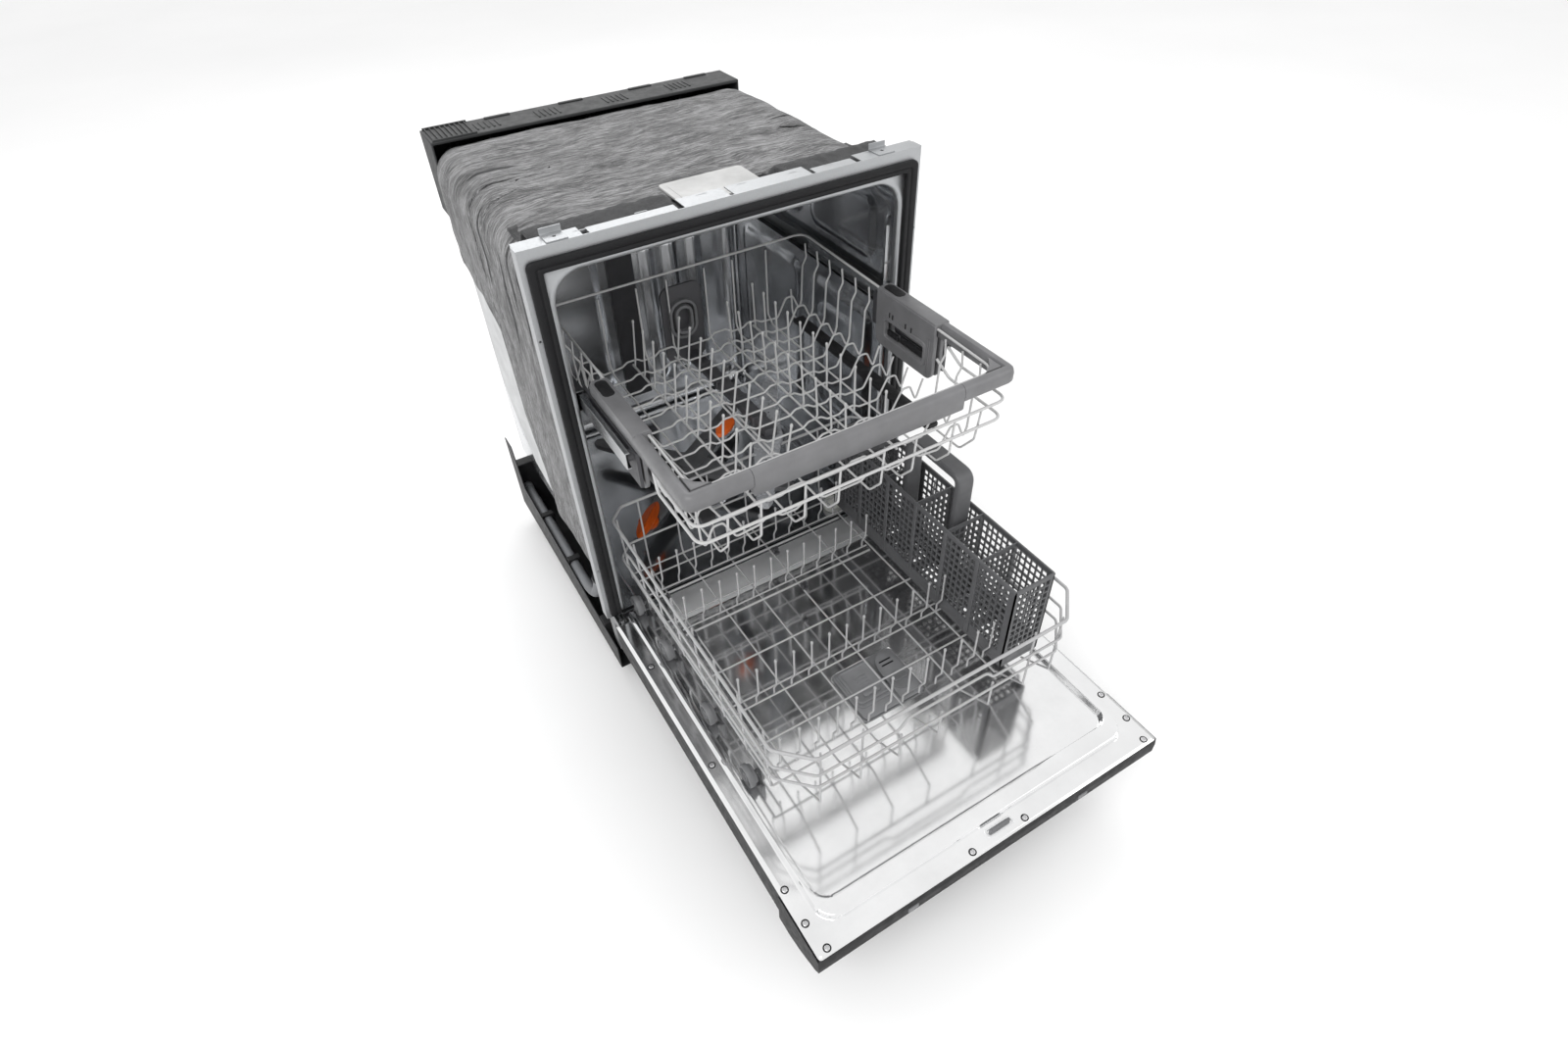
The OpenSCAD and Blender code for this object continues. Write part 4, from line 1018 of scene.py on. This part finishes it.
def ring_path(half, front, rear, z0, z1, cut=42, rear_cut=24):
    """A ring of the lower rack with its corners cut off, z0 high in front and z1 at the rear."""
    side = [(half, rear - rear_cut, z1), (half - rear_cut, rear, z1)]
    corner = [(-half, front + cut, z0), (-half + cut, front, z0)]
    return side[1:] + [(-x, y, z) for x, y, z in reversed(side)] + corner + [
        (-x, y, z) for x, y, z in reversed(corner)] + side[:1]


def tine(mesh, x, y, z):
    """A tine with a ball tip, kinked back near its foot."""
    foot = [(x + 0.6, y + 10, z), (x + 0.6, y + 10, z + 16), (x, y, z + 36)]
    mesh.wire(foot + [(x, y, TINE_TOP)], 5, 3, tip=2.4)


def make_lower_wires():
    """The lower basket: three rings, posts with pointed feet, floor wires and the tines."""
    m = Mesh()
    m.wire(ring_path(LOW_HALF, LOW_FRONT, LOW_REAR, LOW_TOP, LOW_TOP), 14, 5, 2.5, cyclic=True, sides=10)
    m.wire(ring_path(LOW_HALF - 2, LOW_FRONT + 2, LOW_REAR - 2, LOW_LOW, 284), 14, 5, THICK_WIRE, cyclic=True)
    h, y0, z = LOW_HALF - 1, LOW_FRONT + 1, LOW_MID
    left = [(-h + 2, 6, LOW_LOW - 6), (-h, -4, z - 4), (-h, -22, z), (-h, y0 + 42, z), (-h + 42, y0, z),
            (-80, y0, z), (-66, y0, z + 17)]
    m.wire(left + [(-x, y, zz) for x, y, zz in reversed(left)], 12, 5, THICK_WIRE)
    inner, floor_end = LOW_FRONT + 6, FLOOR_FRONT - 4
    for x in (-198, -134, 154, 205):
        m.wire([(x, inner, LOW_TOP), (x, inner, 250), (x, floor_end, LOW_FLOOR)], 3, 3)
    for x in (-70, -2, 88):
        m.wire([(x, floor_end, LOW_FLOOR), (x, inner, 250), (x, inner, LOW_LOW + 5)], 3, 3, tip=2.2)
    top, foot = LOW_HALF - 6, LOW_HALF - 14
    for y in (-432 + 66 * k for k in range(8)):
        for sx in SIDES:
            post = ((top, y, LOW_TOP), (foot + 2, y + 4, 250), (foot, y + 4, LOW_FLOOR + 3))
            m.wire([(sx * px, py, pz) for px, py, pz in post], 8, 3)
    for x in (-196, -134, -70, -2, 87.5, 152, 196):
        m.wire([(x, LOW_REAR - 5, LOW_TOP), (x, LOW_REAR - 9, 240), (x, LOW_REAR - 14, LOW_FLOOR + 2)], 8, 3)
    m.build("lower_basket_sides", "lower_rack", "nylon_grey", NYLON_LOW, ["lower_rack_rims"], sharp=60)
    f = Mesh()
    rear = LOW_REAR - 12
    for x in LOW_XS:
        f.wire([(x, floor_end, LOW_FLOOR), (x, rear, LOW_FLOOR)], 3, 2)
    for sx in SIDES:
        f.tube([(sx * FLOOR_HALF, -430, LOW_FLOOR + 3), (sx * FLOOR_HALF, rear, LOW_FLOOR + 3)], THICK_WIRE)
    f.tube([(-218, FLOOR_FRONT + 14, LOW_FLOOR), (-218, rear, LOW_FLOOR)], WIRE)
    high = LOW_FLOOR + 3.3
    for y in (-430, -366, -302, -288, -222, -88, -18, 20, 42):
        f.tube([(-FLOOR_HALF, y, high), (FLOOR_HALF, y, high)], WIRE)
    for y in ROWS[2:]:
        for x in TINE_X:
            tine(f, x, y, high - 2)
    f.build("lower_basket_floor", "lower_rack", "nylon_grey", NYLON_LOW, ["lower_rack_floor"], sharp=60)
    pivot, start, end = LOW_FLOOR + 6.2, FOLD_X[0] - 8, FOLD_X[-1] + 8
    # The two rows step apart sideways so that the rear tines clear the middle row when they fold.
    for name, y, step in (("rear", ROWS[0], 2.3), ("middle", ROWS[1], -2.3)):
        row = Mesh()
        row.tube([(start, y, pivot), (end, y, pivot)], THICK_WIRE)
        row.tube([(start, y + 10, pivot + 3), (end, y + 10, pivot + 3)], WIRE)
        for x in FOLD_X:
            tine(row, x + step, y, pivot + 2)
        body = "lower_tines_" + name
        row.build("folding_tines_" + name, body, "nylon_grey", NYLON_LOW, [body], sharp=60)


WHEEL_Z = 199.3
WHEEL_YS = [-5, -118, -262, -384]


def make_wheels():
    """Pairs of rack wheels with spoked hubs, and the clips that carry them."""
    profile = [(3.15, 238.2), (13.5, 238.2), (14.9, 239.2), (15, 243), (17.2, 243.2), (17.9, 244.2),
               (18, 247.5), (17.9, 250.9), (17.2, 251.9), (14.6, 252), (14, 251.2), (13.6, 247.5), (7, 247.5),
               (6.6, 251.4), (6, 252), (3.15, 252)]
    hub, rim = 6.2, 13.9
    for i, y in enumerate(WHEEL_YS, 1):
        m = Mesh()
        for sx in SIDES:
            m.lathe([(r, sx * w) for r, w in profile], (0, y, WHEEL_Z), axis="x", steps=36, closed=True)
            lo, hi = sorted((sx * 247, sx * 250.6))
            spoke = ((lo, -1.1), (hi, -0.8), (hi, 0.8), (lo, 1.1))
            for a in turns(6):
                u, v = math.cos(a), math.sin(a)
                m.loft([[(w, y + u * r - v * t, WHEEL_Z + v * r + u * t) for w, t in spoke]
                        for r in (hub, rim)])
        m.build("wheel_pair_%d" % i, "wheels_%d" % i, "clip_grey", GREY, ["wheels_%d" % i], sharp=35)
    softened("rack_clips", "lower_rack", "clip_grey", GREY, 0.8)
    hooks = Mesh()
    for y in WHEEL_YS:
        for sx in SIDES:
            for dy in (-9, 5):
                hooks.side_block(sx, 224.4, 228, (y + dy, 216), (y + dy + 4, 229.5), 0.6, 1)
    hooks.build("clip_hooks", "lower_rack", "clip_grey", GREY)
    splits = Mesh()
    for x, y in ((4, ROWS[0]), (2, ROWS[1]), (-205, ROWS[0] + 3), (-205, ROWS[1] + 3)):
        for dx in (-5.5, 1.5):
            splits.block((x + dx, y - 12, 221), (x + dx + 4, y - 3.2, 230.5), 0.8, 1.5)
        splits.block((x - 6, y - 15, 219), (x + 6, y - 8, 223.6), 0.8, 2)
    splits.build("split_clips", "lower_rack", "clip_grey", DARK_GREY)


def windows(low, high, step, bar):
    """Grid lines for a row of windows about step apart, with bars between them."""
    values = [low]
    count = max(1, round((high - low) / step))
    pitch = (high - low) / count
    for k in range(count):
        values += [low + pitch * k + bar / 2, low + pitch * (k + 1) - bar / 2]
    return values + [high]


def make_basket():
    """The cutlery basket: latticed walls in panels, solid foot band, cells and an arched handle."""
    (x0, y0, z0), (x1, y1, z1) = (158.0, -446.0, 232.0), (231.0, 4.0, 396.0)
    wall, cells = 2.2, 6
    posts = [y0 + 8 + (y1 - y0 - 16) * k / cells for k in range(cells + 1)]
    m = Mesh()
    vs = [z0, z0 + 24] + windows(z0 + 25, z1 - 7, 12.6, 2.6)[1:-1] + [z1 - 6, z1]
    us = [y0, y0 + 11]
    for low, high in zip(posts, posts[1:]):
        us += [v for v in windows(low + 3.5, high - 3.5, 10.6, 2.6)[1:-1] if v > us[-1] + 0.2]
    us += [y1 - 9, y1]
    ends = [x0, x0 + 6] + windows(x0 + 6, x1 - 6, 10.2, 2.6)[1:-1] + [x1 - 6, x1]

    def panel(grid, place, thick, axis):
        """A wall whose windows stay clear of its edges."""
        def hole(i, j):
            row = 2 <= j < len(vs) - 3 and vs[j + 1] - vs[j] > 6
            return row and 0 < i < len(grid) - 2 and 6 < grid[i + 1] - grid[i] < 11

        m.lattice(grid, vs, place, place + thick, hole, axis)

    for low in (x0, x1 - wall):
        panel(us, low, wall, "x")
    for low in (y0, y1 - wall):
        panel(ends, low, wall, "y")
    floor = [windows(low + 2, high - 2, 11, 3) for low, high in ((x0, x1), (y0, y1))]
    m.lattice(*floor, z0, z0 + 2.2, lambda i, j: i % 2 == 1 and j % 2 == 1)
    for k in range(1, cells):
        panel(ends, y0 + (y1 - y0) * k / cells, 2, "y")
    m.build("basket_walls", "basket", "basket_grey", BASKET, ["cutlery_basket"], sharp=30)
    rim = Mesh()
    for out, low, high in ((0.6, z1 - 5, z1 + 0.6), (0.5, z0 - 0.4, z0 + 5)):
        outline = round_rect(x0 - out, x1 + out, y0 - out, y1 + out, 4)
        band = [(0, low), (0, high - 0.6), (0.6, high), (2.8, high), (3.4, high - 0.6), (3.4, low)]
        rim.stack(outline, band, cyclic=True)
    for y in posts[1:-1]:
        for x in (x0, x1):
            rim.block((x - 1.1, y - 4.2, z0 + 3), (x + 1.1, y + 4.2, z1 - 3), 0.5, 1)
    xm, ym = (x0 + x1) / 2, (y0 + y1) / 2
    arch = bend([(xm, ym - 59, z0 + 8), (xm, ym - 59, 474), (xm, ym + 59, 474), (xm, ym + 59, z0 + 8)], 15, 6)
    section = ((-14, -4.5), (-12, -6), (12, -6), (14, -4.5), (15, 0), (14, 4.5), (12, 6), (-12, 6),
               (-14, 4.5), (-15, 0))
    loops = []
    for i, p in enumerate(arch):
        along = (arch[min(i + 1, len(arch) - 1)] - arch[max(i - 1, 0)]).normalized()
        out = Vector((1, 0, 0)).cross(along)
        loops.append([tuple(p + Vector((u, 0, 0)) + out * v) for u, v in section])
    rim.loft(loops)
    rim.build("basket_rim_and_handle", "basket", "basket_grey", BASKET, sharp=35)


# ---- door ----

RIM_Z = 183.0
DOOR_HALF, DOOR_END, DOOR_START = 292.5, -641, -16
DISP_HOLE = (-43, 61, -387, -299)
DISP_X, DISP_Y = 9.0, -343.0
SCREWS = [(side * x, y) for side in SIDES
          for x, y in ((279, -123), (279, -333), (284, -544), (284, -594), (277, -633), (46, -633))]


def liner_height(x, y):
    """The pressed inner skin: flat rim, raised band, sunken middle and a ramp at the hinge end."""
    outer = inside(x, y, -266, 266, -612, 300, 30)
    inner = inside(x, y, -256, 256, -585, 300, 24)
    z = RIM_Z + 7.0 * smooth((outer + 1) / 4) - 9.0 * smooth((inner + 1) / 4)
    ramp = smooth((212 - abs(x)) / 8) * smooth((y + 66) / 10)
    return z + ramp * (1.5 + 8.0 * min(1.0, max(0.0, (y + 62) / 58)))


def make_liner():
    """The door's stainless inner skin as one pressed sheet with the dispenser's opening."""
    left, right, end, start = DISP_HOLE
    xs = lines((-DOOR_HALF, -274, 6), (-274, -236, 1.5), (-236, -212, 6), (-212, -204, 2), (-204, left, 8),
               (left, right, 8), (right, 204, 8), (204, 212, 2), (212, 236, 6), (236, 274, 1.5),
               (274, DOOR_HALF, 6))
    ys = lines((DOOR_END, -619, 5.5), (-619, -560, 1.5), (-560, end, 8), (end, start, 8), (start, -67, 8),
               (-67, -55, 2), (-55, DOOR_START, 4), (DOOR_START, -4, 4))

    def keep(x, y):
        return not (left < x < right and end < y < start) and (y < DOOR_START or abs(x) < 270)

    m = Mesh()
    m.grid(xs, ys, lambda x, y: (x, y, liner_height(x, y) - 0.5), keep)
    thickened(m.build("liner_skin", "door", "stainless", LINER, ["door_liner"], sharp=50), "sheet", 1.0, 0.0)
    ramp = Mesh()
    ramp.grid(spread(-208, 208, 16), spread(-62, -6, 7), lambda x, y: (x, y, liner_height(x, y) + 0.35))
    for sx in SIDES:
        ramp.grid(sorted([sx * 203, sx * 207, sx * 211, sx * 215]), spread(-380, -64, 12),
                  lambda x, y: (x, y, 181.6 + 0.32 * (abs(x) - 203)))
    ramp.build("door_ramp", "door", "stainless", BRIGHT)
    hems = Mesh()
    skirt = [(-DOOR_HALF, DOOR_START), (-DOOR_HALF, DOOR_END), (DOOR_HALF, DOOR_END), (DOOR_HALF, DOOR_START)]
    hems.wire([(x, y, RIM_Z - 0.9) for x, y in skirt], 4, 4, 0.85)
    hems.build("liner_hem", "door", "stainless", LINER)


def cross_radius(a, arm, half):
    """The outline of a cross at an angle."""
    c, s = max(abs(math.cos(a)), 1e-3), max(abs(math.sin(a)), 1e-3)
    return max(min(arm / c, half / s), min(arm / s, half / c))


def make_screws():
    """Pan-head screws with cross recesses, each in a dark rubber ring."""
    heads, rings = Mesh(), Mesh()
    dome = ((3.9, 0.0), (3.9, 0.5), (3.6, 1.0), (3.1, 1.25), (2.8, 1.3))
    recess = ((1.0, 1.32), (0.96, 1.1), (0.8, 0.4))
    for x, y in SCREWS:
        levels = [(lambda a, r=radius: r, height) for radius, height in dome]
        levels += [(lambda a, r=part: r * cross_radius(a, 2.5, 0.55), height) for part, height in recess]
        heads.loft([[(x + reach(a) * math.cos(a), y + reach(a) * math.sin(a), RIM_Z + height)
                     for a in turns(40)] for reach, height in levels])
        washer = [(3.95, 0.05), (5.3, 0.05), (5.6, 0.25), (5.3, 0.5), (3.95, 0.5)]
        rings.lathe(washer, (x, y, RIM_Z), steps=28, closed=True)
    heads.build("liner_screws", "door", "screw_steel", SCREW_STEEL, ["door_screws"], sharp=30)
    rings.build("screw_rings", "door", "seal_rubber", SEAL_AND_SLOT_SHADE)


def make_door():
    """The outer panel, the console with its controls and the hinge arms."""
    softened("door_outer_panel", "door", "door_black", DOOR_BLACK, 0.8)
    softened("door_console", "door", "door_black", DOOR_BLACK, 1.6)
    softened("door_hinge_arms", "door", "bracket_steel", DARK_STEEL, 0.4)
    softened("control_board", "door", "board_green", BOARD, 0.2)
    for button in ("power_button", "start_button"):
        softened(button, button, "button_grey", GREY, 1.2)
    latch = Mesh()
    latch.block((-9.6, -626.8, 175), (25.6, -622.2, 189), 1.2, 1.6)
    latch.block((-6, -626.2, 188.5), (22, -622.8, 189.6), 0.4, 1.2)
    latch.build("latch_tongue", "latch", "grey_plastic", GREY, ["door_latch"])
    mouth = Mesh()
    outline = round_rect(-15, 31, -631, -618, 4)
    hole = round_rect(-11.5, 27.5, -627.8, -621.2, 1.5)
    low, high = RIM_Z + 0.05, RIM_Z + 1
    mouth.loft([ring(outline, low), ring(outline, high, cut=0.6), ring(hole, high, cut=-0.6), ring(hole, low)],
               cyclic=True)
    mouth.build("latch_mouth", "door", "stainless", BRIGHT)


def make_dispenser():
    """Detergent box with its sliding lid beside the hooded rinse aid cap."""
    x, y, z = DISP_X, DISP_Y, RIM_Z
    m = Mesh()
    rim = round_rect(x - 56, x + 56, y - 48, y + 48, 9)
    m.prism(rim, z - 2, z + 3, 1.2)
    box = round_rect(x - 52, x + 8, y - 30, y + 44, 8)
    m.stack(box, [(0, z + 2), (0, z + 5), (1, z + 6), (3, z + 6)])
    arc = [math.pi * k / 12 for k in range(13)]
    hood = [(x + 31 - 20 * math.cos(a), y + 8 + 34 * math.sin(a)) for a in arc]
    hood += [(x + 51, y - 44), (x + 11, y - 44)]
    m.prism(hood, z + 2, z + 8, 2.2)
    m.build("dispenser_case", "door", "dispenser_grey", DISPENSER, ["dispenser_body"], sharp=35)
    # Painted shade: the hood's slots are thin black plates on its top, dark for the shade inside them.
    slot_shade = Mesh()
    for dy in (16, 24):
        slot_shade.block((x + 20, y + dy, z + 7.7), (x + 42, y + dy + 3, z + 8.15), 0.2, 1.2)
    slot_shade.build("dispenser_slot_shade", "door", "seal_rubber", SEAL_AND_SLOT_SHADE)
    lid = Mesh()
    lx, ly, lz = x - 22, y + 8, z + 6.3
    outline = round_rect(lx - 28, lx + 28, ly - 33, ly + 33, 7)
    dish = [(0, 0), (0, 3.2), (0.9, 4), (3.2, 4), (4.0, 3.2), (4.6, 3.0)]
    lid.stack(outline, [(cut, lz + rise) for cut, rise in dish])
    lid.block((lx - 15, ly - 26, lz + 2.8), (lx + 15, ly - 18, lz + 7), 1.4, 3)
    for dy in (-8, -2, 4, 10):
        lid.block((lx - 10, ly + dy, lz + 2.8), (lx + 10, ly + dy + 2, lz + 3.8), 0.4, 0.9)
    lid.build("dispenser_door", "dispenser_lid", "dispenser_grey", DISPENSER, ["dispenser_lid"], sharp=35)
    softened("rinse_cap", "rinse_cap", "grey_plastic", GREY, 0.8)


for make in (make_camera, make_stage, make_seal, make_tub, make_blanket, make_top, make_base, make_arms,
             make_upper_wires, make_trim, make_adjusters, make_feed, make_lower_wires, make_wheels, make_basket,
             make_liner, make_screws, make_door, make_dispenser):
    make()
